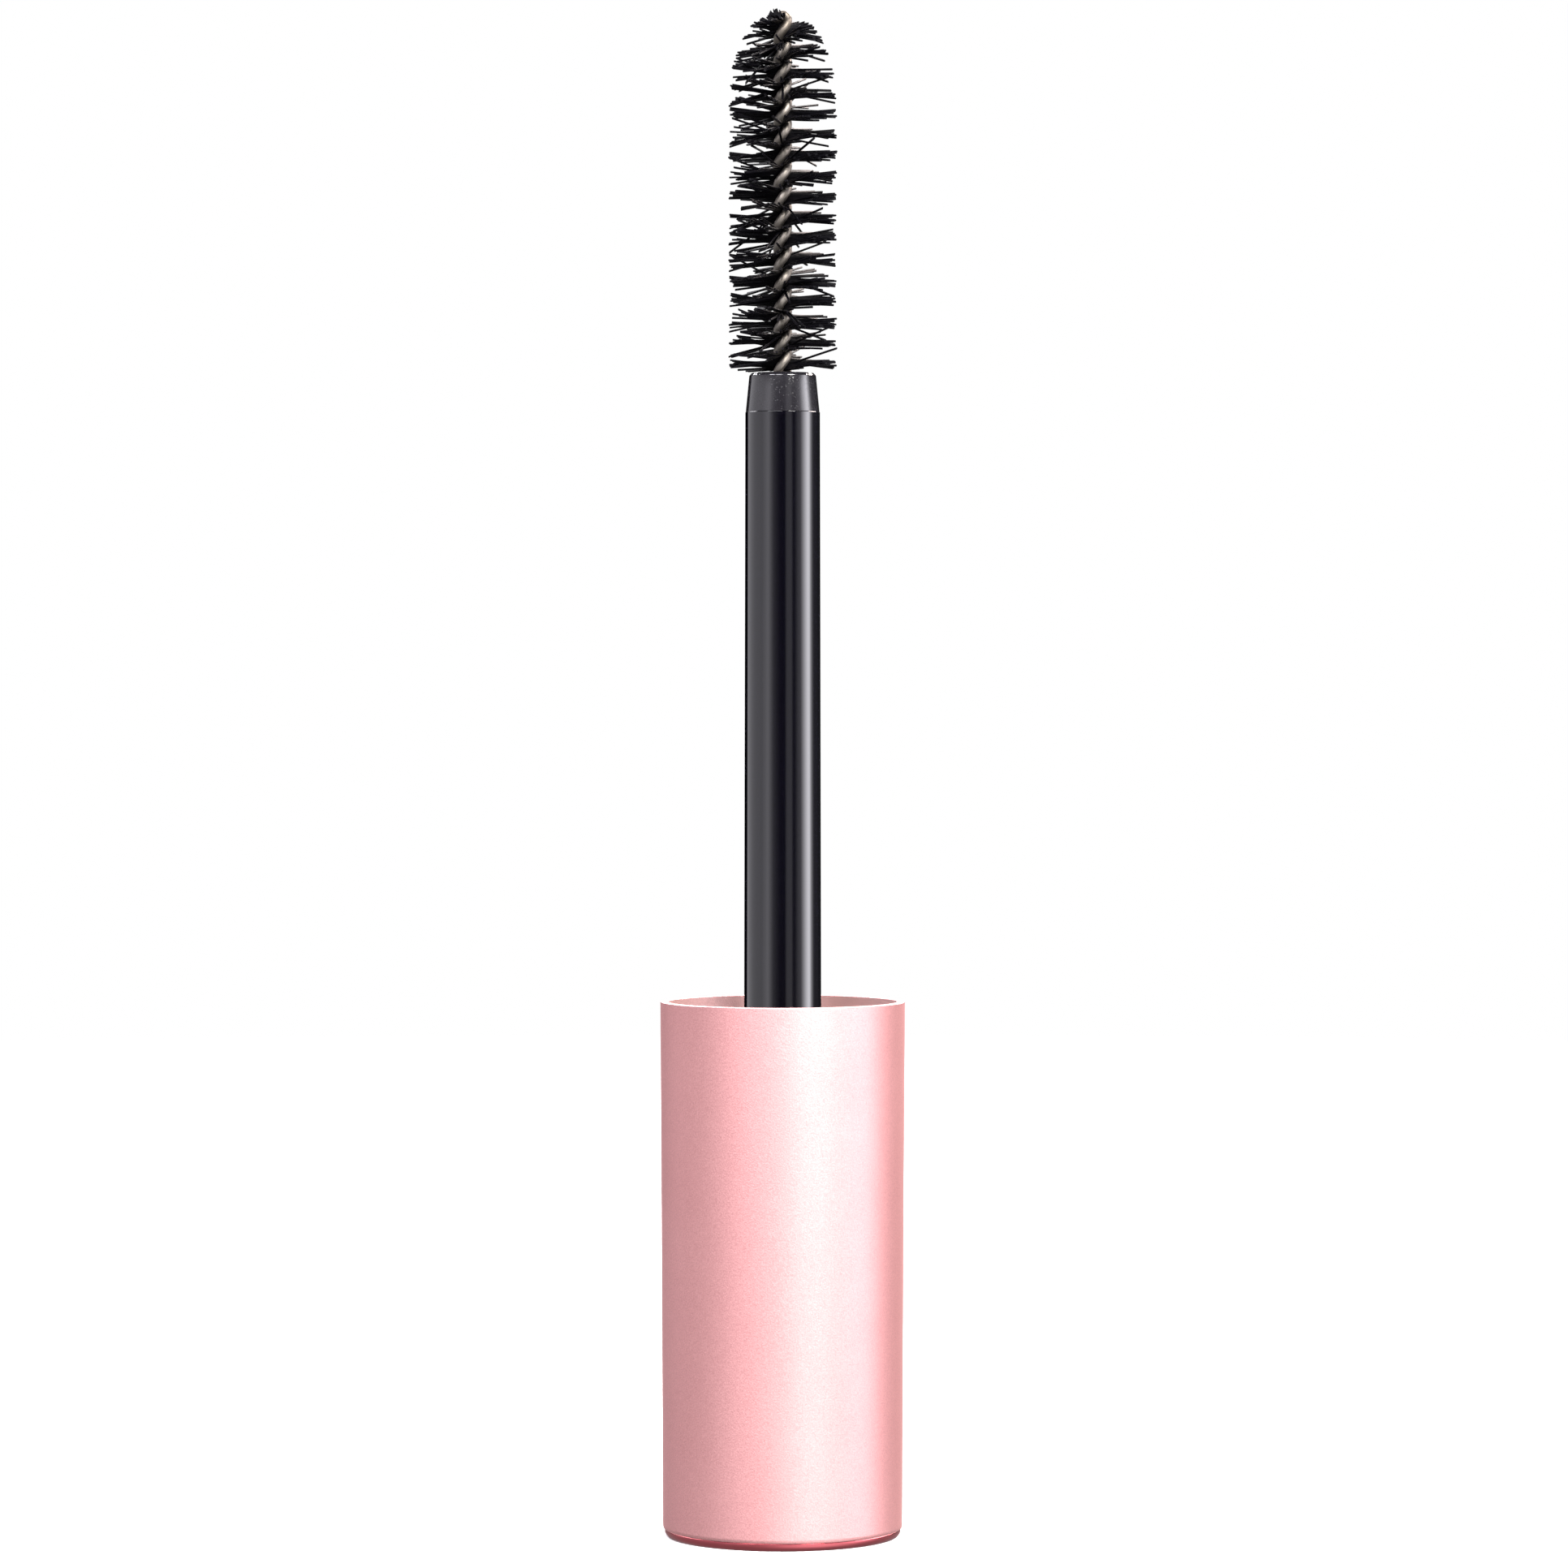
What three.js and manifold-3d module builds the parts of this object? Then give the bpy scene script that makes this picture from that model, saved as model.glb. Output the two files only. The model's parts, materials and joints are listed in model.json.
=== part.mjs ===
// Mascara applicator: the screw cap of a mascara tube with its wand, standing on the cap's closed end, brush up.
// Units are millimetres and +Z is up. The origin is the centre of the flat face that the cap stands on, and the
// cap, the stem and the twisted brush share the Z axis. A standalone three.js module: its default export is a
// group of named meshes.
//
// How it is put together, from the bottom: an end plug closes the cap sleeve and carries a steel weight. The inner
// cap is pressed into the sleeve and holds the screw thread for the tube's neck. The stem snaps into the inner
// cap's socket over a sealing washer, its tip ferrule grips the twisted wire, and the wire grips the bristles.
import * as THREE from "three";
import { mergeVertices } from "three/addons/utils/BufferGeometryUtils.js";
import Module from "manifold-3d";

const wasm = await Module();
wasm.setup();

// Cap sleeve: a thin tapered tube, widest at the mouth. Its foot curls in to meet the end plug.
const CAP_HEIGHT = 39.4;
const MOUTH_RADIUS = 9.0;
const FOOT_RADIUS = 8.82;
const SLEEVE_WALL = 0.57;
const LIP_ROUND = 0.15;
const FOOT_ROUND = 0.85;
const FOOT_CURL = THREE.MathUtils.degToRad(40);

// End plug: the disc that closes the sleeve, and the ring that presses into it.
const PLUG_RIM = 0.54;
const PLUG_RADIUS = 8.6;
const PLUG_ROUND = 0.42;
const PLUG_FLOOR = 1.3;
const PLUG_RING_TOP = 4.6;
const PLUG_RING_WALL = 0.9;

// Gap left where one piece seats on another.
const SEAM = 0.06;

// Steel weight that sits on the plug's floor.
const WEIGHT_RADIUS = 6.0;
const WEIGHT_HEIGHT = 8.0;
const WEIGHT_CHAMFER = 0.4;

// Inner cap: outer wall, web, stem socket below the web and neck socket above it.
const PRESS_GAP = 0.12;
const INNER_BOTTOM = 5.0;
const INNER_RIM = 37.4;
const NECK_BORE = 7.5;
const NECK_FLOOR = 25.5;
const INNER_WEB = 1.6;
const SKIRT_BORE = 7.2;
const SOCKET_RADIUS = 4.2;
const SOCKET_BOTTOM = 12.0;
const RIM_CHAMFER = 0.2;
const CRUSH_RIBS = 12;
const CRUSH_RIB = { width: 0.7, proud: 0.08, bottom: 6, top: 34 };

// Screw thread inside the neck socket: crest radius, root radius sunk into the wall, half widths at base and tip.
const THREAD = { crest: 6.95, root: 7.7, base: 0.62, tip: 0.3, pitch: 2.6, turns: 1.9, start: 29 };

// Sealing washer on the neck socket's floor. The stem's collar holds it down and dents it.
const WASHER = { bore: 3.05, radius: 6.6, thickness: 0.8, dent: 0.12, dentRadius: 4.1 };

// Stem: a tapered black tube with a snap bead, a collar and a stepped bore.
const STEM_BOTTOM = 13.0;
const STEM_TOP = 82.72;
const STEM_TIP_RADIUS = 2.74;
const STEM_TAPER = 0.0022;
const SOCKET_GAP = 0.08;
const SNAP_BEAD = { height: 17.0, proud: 0.22, half: 0.7 };
const COLLAR = { radius: 3.9, thickness: 0.8 };
const STEM_BORE = 1.4;
const STEM_BORE_TOP = 70.0;
const STEM_BORE_SHOULDER = 69.0;
const WIRE_BORE = 0.82;

// Tip ferrule: a cone with a spigot in the stem's counterbore.
const TIP_TOP = 85.6;
const TIP_BASE_RADIUS = 2.71;
const TIP_TOP_RADIUS = 2.43;
const TIP_ROUND = 0.25;
const SPIGOT_RADIUS = 1.85;
const SPIGOT_BOTTOM = 78.4;

// Twisted wire: one wire bent double at the tip and twisted right-handed, with the bristles pinched between its
// two strands. Both cut ends are inside the stem.
const WIRE_RADIUS = 0.31;
const STRAND_RADIUS = 0.375;
const TWIST_PITCH = 3.05;
const FRONT_STRAND_HEIGHT = 98.5;
const WIRE_BOTTOM = 75.5;
const BEND_HEIGHT = 111.5;
const BEND_SHARE = 0.02;

// Bristles: each half turn of the twist carries one row, which reaches out on both sides of the wire.
const ROWS = 17;
const ROW_PITCH = TWIST_PITCH / 2;
const ROW_TURN = THREE.MathUtils.degToRad(166);
const ROW_THICKNESS = 0.3;
const ROW_BORE = 0.8;
const WEB = { reach: 1, thickness: 0.05 };
const BRUSH_RADIUS = 3.95;
const BRUSH_BOTTOM = 85.8;
const BRUSH_TOP = 112;
const NOSE_START = 105.5;
const NOSE_LENGTH = 6.9;

// How finely the curves are divided.
const ARC_STEPS = 2;
const SLEEVE_SIDES = 40;
const INNER_SIDES = 32;
const STEM_SIDES = 24;
const THREAD_STEPS_PER_TURN = 24;
const WIRE_SIDES = 6;
const WIRE_STEPS_PER_TURN = 8;
const WEB_STEPS = 7;
const BLADE_STEPS = 6;
const MERGE_DISTANCE = 1e-4;
const FULL_TURN = 2 * Math.PI;

// ---- helpers ----

// A solid of revolution about Z. The outline runs in (radius, height) and may be listed in either direction.
function turned(outline, sides) {
  const points = outline.getPoints(ARC_STEPS);
  if (THREE.ShapeUtils.area(points) < 0) points.reverse();
  return new THREE.LatheGeometry(points, sides).rotateX(Math.PI / 2);
}

// A closed outline from straight corners, each given as [radius, height].
function outlineOf(corners) {
  const path = new THREE.Path();
  path.setFromPoints(corners.map(([radius, height]) => new THREE.Vector2(radius, height)));
  path.closePath();
  return path;
}

// A section in (radius, height) carried about Z up a right-handed helix. reach limits the radius by height.
function wound(section, { start, turn, pitch, lift, steps, reach = () => Infinity }) {
  const geometry = new THREE.ExtrudeGeometry(section, { depth: turn, steps, bevelEnabled: false });
  const place = geometry.attributes.position;
  for (let i = 0; i < place.count; i++) {
    const along = turn - place.getZ(i);
    const height = lift + place.getY(i) + (pitch * along) / FULL_TURN;
    const radius = Math.min(place.getX(i), reach(height));
    const angle = start + along;
    place.setXYZ(i, radius * Math.cos(angle), radius * Math.sin(angle), height);
  }
  return geometry;
}

// A closed geometry as a manifold-3d solid, and a solid as a geometry.
function solidFrom(geometry) {
  const bare = geometry.clone();
  bare.deleteAttribute("normal");
  bare.deleteAttribute("uv");
  const merged = mergeVertices(bare, MERGE_DISTANCE);
  const triVerts = new Uint32Array(merged.index.array);
  return new wasm.Manifold(
    new wasm.Mesh({ numProp: 3, vertProperties: merged.attributes.position.array, triVerts }),
  );
}

function geometryFrom(solid) {
  const { vertProperties, triVerts } = solid.getMesh();
  const geometry = new THREE.BufferGeometry();
  geometry.setAttribute("position", new THREE.BufferAttribute(vertProperties, 3));
  geometry.setIndex(new THREE.BufferAttribute(triVerts, 1));
  geometry.computeVertexNormals();
  return geometry;
}

// Outer radius of the sleeve, and of the stem, at a height.
function sleeveRadius(height) {
  return THREE.MathUtils.lerp(FOOT_RADIUS, MOUTH_RADIUS, height / CAP_HEIGHT);
}

function stemRadius(height) {
  return STEM_TIP_RADIUS + STEM_TAPER * (STEM_TOP - height);
}

// Radius that the pieces pressed into the sleeve keep to at a height.
function pressRadius(height) {
  return sleeveRadius(height) - SLEEVE_WALL - PRESS_GAP;
}

// ---- cap ----

function capSleeve() {
  const bottom = PLUG_RIM + SEAM;
  const curlTop = bottom + FOOT_ROUND * Math.sin(FOOT_CURL);
  const outline = new THREE.Path()
    .moveTo(sleeveRadius(bottom) - SLEEVE_WALL, bottom)
    .absarc(sleeveRadius(curlTop) - FOOT_ROUND, curlTop, FOOT_ROUND, -FOOT_CURL, 0)
    .lineTo(MOUTH_RADIUS, CAP_HEIGHT - LIP_ROUND)
    .absarc(MOUTH_RADIUS - LIP_ROUND, CAP_HEIGHT - LIP_ROUND, LIP_ROUND, 0, Math.PI / 2)
    .lineTo(MOUTH_RADIUS - SLEEVE_WALL + LIP_ROUND, CAP_HEIGHT)
    .lineTo(MOUTH_RADIUS - SLEEVE_WALL, CAP_HEIGHT - LIP_ROUND);
  outline.closePath();
  return turned(outline, SLEEVE_SIDES);
}

function endPlug() {
  const ringRadius = pressRadius(PLUG_RIM);
  const outline = new THREE.Path()
    .moveTo(0, 0)
    .lineTo(PLUG_RADIUS - PLUG_ROUND, 0)
    .absarc(PLUG_RADIUS - PLUG_ROUND, PLUG_ROUND, PLUG_ROUND, -Math.PI / 2, 0)
    .lineTo(PLUG_RADIUS, PLUG_RIM)
    .lineTo(ringRadius, PLUG_RIM)
    .lineTo(ringRadius, PLUG_RING_TOP)
    .lineTo(ringRadius - PLUG_RING_WALL, PLUG_RING_TOP)
    .lineTo(ringRadius - PLUG_RING_WALL, PLUG_FLOOR)
    .lineTo(0, PLUG_FLOOR);
  return turned(outline, SLEEVE_SIDES);
}

function capWeight() {
  const bottom = PLUG_FLOOR + SEAM;
  const top = bottom + WEIGHT_HEIGHT;
  const outline = new THREE.Path()
    .moveTo(0, bottom)
    .lineTo(WEIGHT_RADIUS - WEIGHT_CHAMFER, bottom)
    .lineTo(WEIGHT_RADIUS, bottom + WEIGHT_CHAMFER)
    .lineTo(WEIGHT_RADIUS, top - WEIGHT_CHAMFER)
    .lineTo(WEIGHT_RADIUS - WEIGHT_CHAMFER, top)
    .lineTo(0, top);
  return turned(outline, INNER_SIDES);
}

// ---- inner cap ----

function innerCapBody() {
  const bore = stemRadius(NECK_FLOOR) + SOCKET_GAP;
  const groove = bore + SNAP_BEAD.proud;
  return turned(
    outlineOf([
      [stemRadius(SOCKET_BOTTOM) + SOCKET_GAP, SOCKET_BOTTOM],
      [stemRadius(SNAP_BEAD.height) + SOCKET_GAP, SNAP_BEAD.height - SNAP_BEAD.half - SOCKET_GAP],
      [groove, SNAP_BEAD.height],
      [stemRadius(SNAP_BEAD.height) + SOCKET_GAP, SNAP_BEAD.height + SNAP_BEAD.half + SOCKET_GAP],
      [bore, NECK_FLOOR],
      [NECK_BORE, NECK_FLOOR],
      [NECK_BORE, INNER_RIM - RIM_CHAMFER],
      [NECK_BORE + RIM_CHAMFER, INNER_RIM],
      [pressRadius(INNER_RIM), INNER_RIM],
      [pressRadius(INNER_BOTTOM), INNER_BOTTOM],
      [SKIRT_BORE, INNER_BOTTOM],
      [SKIRT_BORE, NECK_FLOOR - INNER_WEB],
      [SOCKET_RADIUS, NECK_FLOOR - INNER_WEB],
      [SOCKET_RADIUS, SOCKET_BOTTOM],
    ]),
    INNER_SIDES,
  );
}

// One of the ribs that grip the sleeve, leaning with the sleeve's taper.
function crushRib(angle) {
  const low = CRUSH_RIB.bottom;
  const root = (SKIRT_BORE + pressRadius(low)) / 2;
  const face = new THREE.Shape(
    [
      [root, low],
      [pressRadius(low) + CRUSH_RIB.proud, low],
      [pressRadius(CRUSH_RIB.top) + CRUSH_RIB.proud, CRUSH_RIB.top],
      [root, CRUSH_RIB.top],
    ].map(([radius, height]) => new THREE.Vector2(radius, height)),
  );
  return new THREE.ExtrudeGeometry(face, { depth: CRUSH_RIB.width, bevelEnabled: false })
    .translate(0, 0, -CRUSH_RIB.width / 2)
    .rotateX(Math.PI / 2)
    .rotateZ(angle);
}

function neckThread() {
  const section = new THREE.Shape(
    [
      [THREAD.root, -THREAD.base],
      [THREAD.root, THREAD.base],
      [THREAD.crest, THREAD.tip],
      [THREAD.crest, -THREAD.tip],
    ].map(([radius, height]) => new THREE.Vector2(radius, height)),
  );
  const turn = THREAD.turns * FULL_TURN;
  const steps = Math.round(THREAD.turns * THREAD_STEPS_PER_TURN);
  return wound(section, { start: 0, turn, pitch: THREAD.pitch, lift: THREAD.start, steps });
}

function innerCap() {
  let solid = solidFrom(innerCapBody()).add(solidFrom(neckThread()));
  for (let i = 0; i < CRUSH_RIBS; i++) {
    solid = solid.add(solidFrom(crushRib((FULL_TURN * i) / CRUSH_RIBS)));
  }
  return geometryFrom(solid);
}

function sealWasher() {
  const bottom = NECK_FLOOR + SEAM;
  const top = bottom + WASHER.thickness;
  return turned(
    outlineOf([
      [WASHER.bore, bottom],
      [WASHER.radius, bottom],
      [WASHER.radius, top],
      [WASHER.dentRadius, top],
      [WASHER.dentRadius, top - WASHER.dent],
      [WASHER.bore, top - WASHER.dent],
    ]),
    INNER_SIDES,
  );
}

// ---- wand ----

function wandStem() {
  const collarBottom = NECK_FLOOR + SEAM + WASHER.thickness - WASHER.dent + SEAM;
  const collarTop = collarBottom + COLLAR.thickness;
  const counterboreFloor = SPIGOT_BOTTOM - SEAM;
  const counterbore = SPIGOT_RADIUS + SEAM;
  return turned(
    outlineOf([
      [STEM_BORE, STEM_BOTTOM],
      [stemRadius(STEM_BOTTOM), STEM_BOTTOM],
      [stemRadius(SNAP_BEAD.height), SNAP_BEAD.height - SNAP_BEAD.half],
      [stemRadius(SNAP_BEAD.height) + SNAP_BEAD.proud, SNAP_BEAD.height],
      [stemRadius(SNAP_BEAD.height), SNAP_BEAD.height + SNAP_BEAD.half],
      [stemRadius(collarBottom), collarBottom],
      [COLLAR.radius, collarBottom],
      [COLLAR.radius, collarTop],
      [stemRadius(collarTop), collarTop],
      [stemRadius(STEM_TOP), STEM_TOP],
      [counterbore, STEM_TOP],
      [counterbore, counterboreFloor],
      [WIRE_BORE, counterboreFloor],
      [WIRE_BORE, STEM_BORE_TOP],
      [STEM_BORE, STEM_BORE_SHOULDER],
    ]),
    STEM_SIDES,
  );
}

function stemTip() {
  const base = STEM_TOP + SEAM;
  const outline = new THREE.Path()
    .moveTo(WIRE_BORE, SPIGOT_BOTTOM)
    .lineTo(SPIGOT_RADIUS, SPIGOT_BOTTOM)
    .lineTo(SPIGOT_RADIUS, base)
    .lineTo(TIP_BASE_RADIUS, base)
    .lineTo(TIP_TOP_RADIUS, TIP_TOP - TIP_ROUND)
    .absarc(TIP_TOP_RADIUS - TIP_ROUND, TIP_TOP - TIP_ROUND, TIP_ROUND, 0, Math.PI / 2)
    .lineTo(WIRE_BORE, TIP_TOP);
  outline.closePath();
  return turned(outline, STEM_SIDES);
}

// ---- brush ----

// Angle of the first strand at a height.
function twistAngle(height) {
  return (FULL_TURN * (height - FRONT_STRAND_HEIGHT)) / TWIST_PITCH - Math.PI / 2;
}

// The centreline of the wire: up one strand, round the bend at the tip, and down the other strand.
class TwistedHairpin extends THREE.Curve {
  getPoint(t, target = new THREE.Vector3()) {
    const side = 2 * t - 1;
    const swing = (Math.PI / 2) * THREE.MathUtils.clamp(side / BEND_SHARE, -1, 1);
    const drop = Math.max(Math.abs(side) - BEND_SHARE, 0) / (1 - BEND_SHARE);
    const height = THREE.MathUtils.lerp(BEND_HEIGHT, WIRE_BOTTOM, drop);
    const angle = twistAngle(height);
    const radius = STRAND_RADIUS * Math.sin(swing);
    const crown = STRAND_RADIUS * Math.cos(swing);
    return target.set(radius * Math.cos(angle), radius * Math.sin(angle), height + crown);
  }
}

function brushWire() {
  const section = new THREE.Shape().absarc(0, 0, WIRE_RADIUS, 0, FULL_TURN);
  const turns = (2 * (BEND_HEIGHT - WIRE_BOTTOM)) / TWIST_PITCH;
  const steps = Math.round(turns * WIRE_STEPS_PER_TURN);
  const path = new TwistedHairpin();
  path.arcLengthDivisions = 10 * steps;
  return new THREE.ExtrudeGeometry(section, { curveSegments: WIRE_SIDES / 2, steps, extrudePath: path });
}

// How far the bristles reach at a height: a straight brush with a rounded nose.
function brushReach(height) {
  const share = THREE.MathUtils.clamp((height - NOSE_START) / NOSE_LENGTH, 0, 1);
  return BRUSH_RADIUS * Math.sqrt(1 - share * share);
}

// The thin web between the two strands, twisted with them, that joins the two sides of a row.
function rowWeb(bottom, top) {
  const { reach, thickness } = WEB;
  const section = new THREE.Shape(
    [
      [-reach, -thickness / 2],
      [0, -thickness / 2],
      [reach, -thickness / 2],
      [reach, thickness / 2],
      [0, thickness / 2],
      [-reach, thickness / 2],
    ].map(([along, across]) => new THREE.Vector2(along, across)),
  );
  const options = { depth: top - bottom, steps: WEB_STEPS, bevelEnabled: false };
  const geometry = new THREE.ExtrudeGeometry(section, options).translate(0, 0, bottom);
  const place = geometry.attributes.position;
  const point = new THREE.Vector3();
  const up = new THREE.Vector3(0, 0, 1);
  for (let i = 0; i < place.count; i++) {
    point.fromBufferAttribute(place, i).applyAxisAngle(up, twistAngle(place.getZ(i)) + Math.PI / 2);
    place.setXYZ(i, point.x, point.y, point.z);
  }
  return geometry;
}

// One row: two opposite blades that climb half a turn with the wire, joined through it by the web. Row 9 is the
// one that points sideways where a strand passes the front at FRONT_STRAND_HEIGHT.
function bristleRow(index) {
  const rise = (TWIST_PITCH * ROW_TURN) / FULL_TURN;
  const middle = FRONT_STRAND_HEIGHT + (index - (ROWS - 1) / 2) * ROW_PITCH;
  const bottom = Math.max(middle - rise / 2, BRUSH_BOTTOM);
  const top = Math.min(middle + rise / 2, BRUSH_TOP - ROW_THICKNESS);
  const section = new THREE.Shape(
    [
      [ROW_BORE, 0],
      [BRUSH_RADIUS, 0],
      [BRUSH_RADIUS, ROW_THICKNESS],
      [ROW_BORE, ROW_THICKNESS],
    ].map(([radius, height]) => new THREE.Vector2(radius, height)),
  );
  const turn = (FULL_TURN * (top - bottom)) / TWIST_PITCH;
  const start = twistAngle(bottom) + Math.PI / 2;
  const winding = { start, turn, pitch: TWIST_PITCH, lift: bottom, steps: BLADE_STEPS, reach: brushReach };
  const blade = wound(section, winding);
  const opposite = blade.clone().rotateZ(Math.PI);
  return geometryFrom(solidFrom(rowWeb(bottom, top)).add(solidFrom(blade)).add(solidFrom(opposite)));
}

// ---- assembly ----

const finish = (color, roughness, metalness) =>
  new THREE.MeshStandardMaterial({ color, roughness, metalness });

const finishes = {
  pinkMetal: finish(0xf0b3b5, 0.35, 0.9),
  rosePlug: finish(0xc4606c, 0.3, 0.7),
  steel: finish(0xa8a9ad, 0.4, 1.0),
  whitePlastic: finish(0xe9e4e2, 0.5, 0.0),
  softSeal: finish(0xf4f2ee, 0.8, 0.0),
  blackPlastic: finish(0x1d1c21, 0.22, 0.0),
  wireSteel: finish(0xb9afa6, 0.35, 1.0),
  nylon: finish(0x0b0a0c, 0.45, 0.0),
};

const applicator = new THREE.Group();

function add(name, geometry, material) {
  const mesh = new THREE.Mesh(geometry, material);
  mesh.name = name;
  applicator.add(mesh);
}

add("cap_sleeve", capSleeve(), finishes.pinkMetal);
add("cap_end_plug", endPlug(), finishes.rosePlug);
add("cap_weight", capWeight(), finishes.steel);
add("inner_cap", innerCap(), finishes.whitePlastic);
add("seal_washer", sealWasher(), finishes.softSeal);
add("wand_stem", wandStem(), finishes.blackPlastic);
add("stem_tip_ferrule", stemTip(), finishes.blackPlastic);
add("brush_wire", brushWire(), finishes.wireSteel);
for (let i = 0; i < ROWS; i++) {
  const number = String(i + 1).padStart(2, "0");
  add(`bristle_row_${number}`, bristleRow(i), finishes.nylon);
}

export default applicator;
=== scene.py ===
# %% [markdown]
# # A mascara applicator, piece by piece
# The applicator is a screw cap with a wand and a twisted-wire brush, and it stands on the closed end of
# its cap. A measured model gives every place and size, in metres with Z up, and it stays as it is. Each
# cell below makes one fine piece or one finish for it. The text before a cell says what the real thing
# is, how it could be made, and why it is made this way.

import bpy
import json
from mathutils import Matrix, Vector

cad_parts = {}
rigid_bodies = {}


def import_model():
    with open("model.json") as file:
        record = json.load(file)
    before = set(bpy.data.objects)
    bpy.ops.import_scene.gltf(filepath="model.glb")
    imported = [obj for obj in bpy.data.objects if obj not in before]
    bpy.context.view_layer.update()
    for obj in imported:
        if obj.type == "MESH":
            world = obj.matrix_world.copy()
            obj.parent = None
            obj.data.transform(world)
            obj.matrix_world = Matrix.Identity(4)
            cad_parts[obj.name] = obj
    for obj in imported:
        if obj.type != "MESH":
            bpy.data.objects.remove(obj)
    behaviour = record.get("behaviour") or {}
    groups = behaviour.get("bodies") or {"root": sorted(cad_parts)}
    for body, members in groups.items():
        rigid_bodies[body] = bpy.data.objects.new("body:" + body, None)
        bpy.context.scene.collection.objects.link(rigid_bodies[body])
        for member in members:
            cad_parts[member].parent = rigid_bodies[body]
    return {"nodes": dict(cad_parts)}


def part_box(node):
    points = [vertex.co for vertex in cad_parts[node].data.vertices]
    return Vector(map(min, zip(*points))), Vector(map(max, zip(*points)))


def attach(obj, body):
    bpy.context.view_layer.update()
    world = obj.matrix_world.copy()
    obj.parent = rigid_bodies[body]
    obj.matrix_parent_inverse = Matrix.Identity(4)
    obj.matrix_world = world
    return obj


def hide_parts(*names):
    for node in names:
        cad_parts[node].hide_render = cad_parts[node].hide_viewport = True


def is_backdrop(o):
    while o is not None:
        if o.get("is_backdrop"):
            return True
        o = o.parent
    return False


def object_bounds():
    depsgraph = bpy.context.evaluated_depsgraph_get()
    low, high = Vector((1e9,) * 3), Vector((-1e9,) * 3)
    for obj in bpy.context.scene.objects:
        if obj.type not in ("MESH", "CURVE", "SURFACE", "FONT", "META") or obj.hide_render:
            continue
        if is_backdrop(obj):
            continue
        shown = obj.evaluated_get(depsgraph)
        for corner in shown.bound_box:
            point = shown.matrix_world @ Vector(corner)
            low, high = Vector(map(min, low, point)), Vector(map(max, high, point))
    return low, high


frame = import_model()
model_box = [list(corner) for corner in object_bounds()]
print("measured model:", len(frame["nodes"]), "nodes, box", model_box)

# %% [markdown]
# The drawings of small mouldings are in millimetres, and Blender's unit here is the metre. One named
# factor keeps the two apart. The numbers that say where a piece sits come from the measured model's own
# boxes.

# %% Units and the measured boxes
import json
import math
import random

import bmesh
import bpy
from mathutils import Matrix, Vector

MM = 0.001
FULL_TURN = 2 * math.pi


def box_mm(node):
    """Lowest and highest corner of a measured node, in millimetres."""
    low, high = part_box(node)
    return low / MM, high / MM


sleeve_low, sleeve_high = box_mm("cap_sleeve")
plug_low, plug_high = box_mm("cap_end_plug")
liner_low, liner_high = box_mm("inner_cap")
washer_low, washer_high = box_mm("seal_washer")
weight_low, weight_high = box_mm("cap_weight")
stem_low, stem_high = box_mm("wand_stem")
ferrule_low, ferrule_high = box_mm("stem_tip_ferrule")
wire_low, _ = box_mm("brush_wire")
print("cap mouth at", round(sleeve_high.z, 2), "mm, ferrule top at", round(ferrule_high.z, 2), "mm")

# %% [markdown]
# A product on a table is seen best with a long lens from a little above its middle, so that its upright
# edges stay nearly parallel. The camera is level with the stem and looks down by about one degree, which
# shows the cap's mouth as a thin ellipse.

# %% Camera
CAMERA_PLACE = Vector((0.0001, -0.439, 0.0639))
CAMERA_TARGET = Vector((0.0001, 0.0, 0.0554))

scene = bpy.context.scene
lens = bpy.data.cameras.new("camera")
lens.lens = 137.0
lens.sensor_width = 36.0
lens.clip_start = 0.01
lens.clip_end = 10.0
camera = bpy.data.objects.new("camera", lens)
camera.location = CAMERA_PLACE
camera.rotation_euler = (CAMERA_TARGET - CAMERA_PLACE).to_track_quat("-Z", "Y").to_euler()
scene.collection.objects.link(camera)
scene.camera = camera
scene.view_settings.view_transform = "Standard"
print("camera:", lens.lens, "mm lens at", round((CAMERA_TARGET - CAMERA_PLACE).length, 3), "m")

# %% [markdown]
# Finishes are node recipes. Wiring nodes one by one is long and hard to read, so two small classes carry
# it. A `Value` is what comes out of a node, and Python's own arithmetic on it adds the Math nodes. A
# `Recipe` holds one node tree and makes every node through a single method: the type, its settings, then
# its inputs.

# %% Values and recipes
class Value:
    """What comes out of a node. Arithmetic on it adds Math nodes."""

    def __init__(self, recipe, socket):
        self.recipe = recipe
        self.socket = socket

    def sum(self, operation, *terms, clamp=False):
        """Adds one Math node for an operation on some terms."""
        settings = {"operation": operation, "use_clamp": clamp}
        return self.recipe.node("ShaderNodeMath", settings, dict(enumerate(terms)))

    def __add__(self, other):
        return self.sum("ADD", self, other)

    __radd__ = __add__

    def __sub__(self, other):
        return self.sum("SUBTRACT", self, other)

    def __rsub__(self, other):
        return self.sum("SUBTRACT", other, self)

    def __mul__(self, other):
        return self.sum("MULTIPLY", self, other)

    __rmul__ = __mul__

    def __truediv__(self, other):
        return self.sum("DIVIDE", self, other)

    def __pow__(self, other):
        return self.sum("POWER", self, other)

    def sine(self):
        return self.sum("SINE", self)

    def step(self, low, high):
        """0 below low, 1 above high, and straight between them. With low above high it falls instead."""
        return self.sum("MULTIPLY", self - low, 1 / (high - low), clamp=True)


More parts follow.
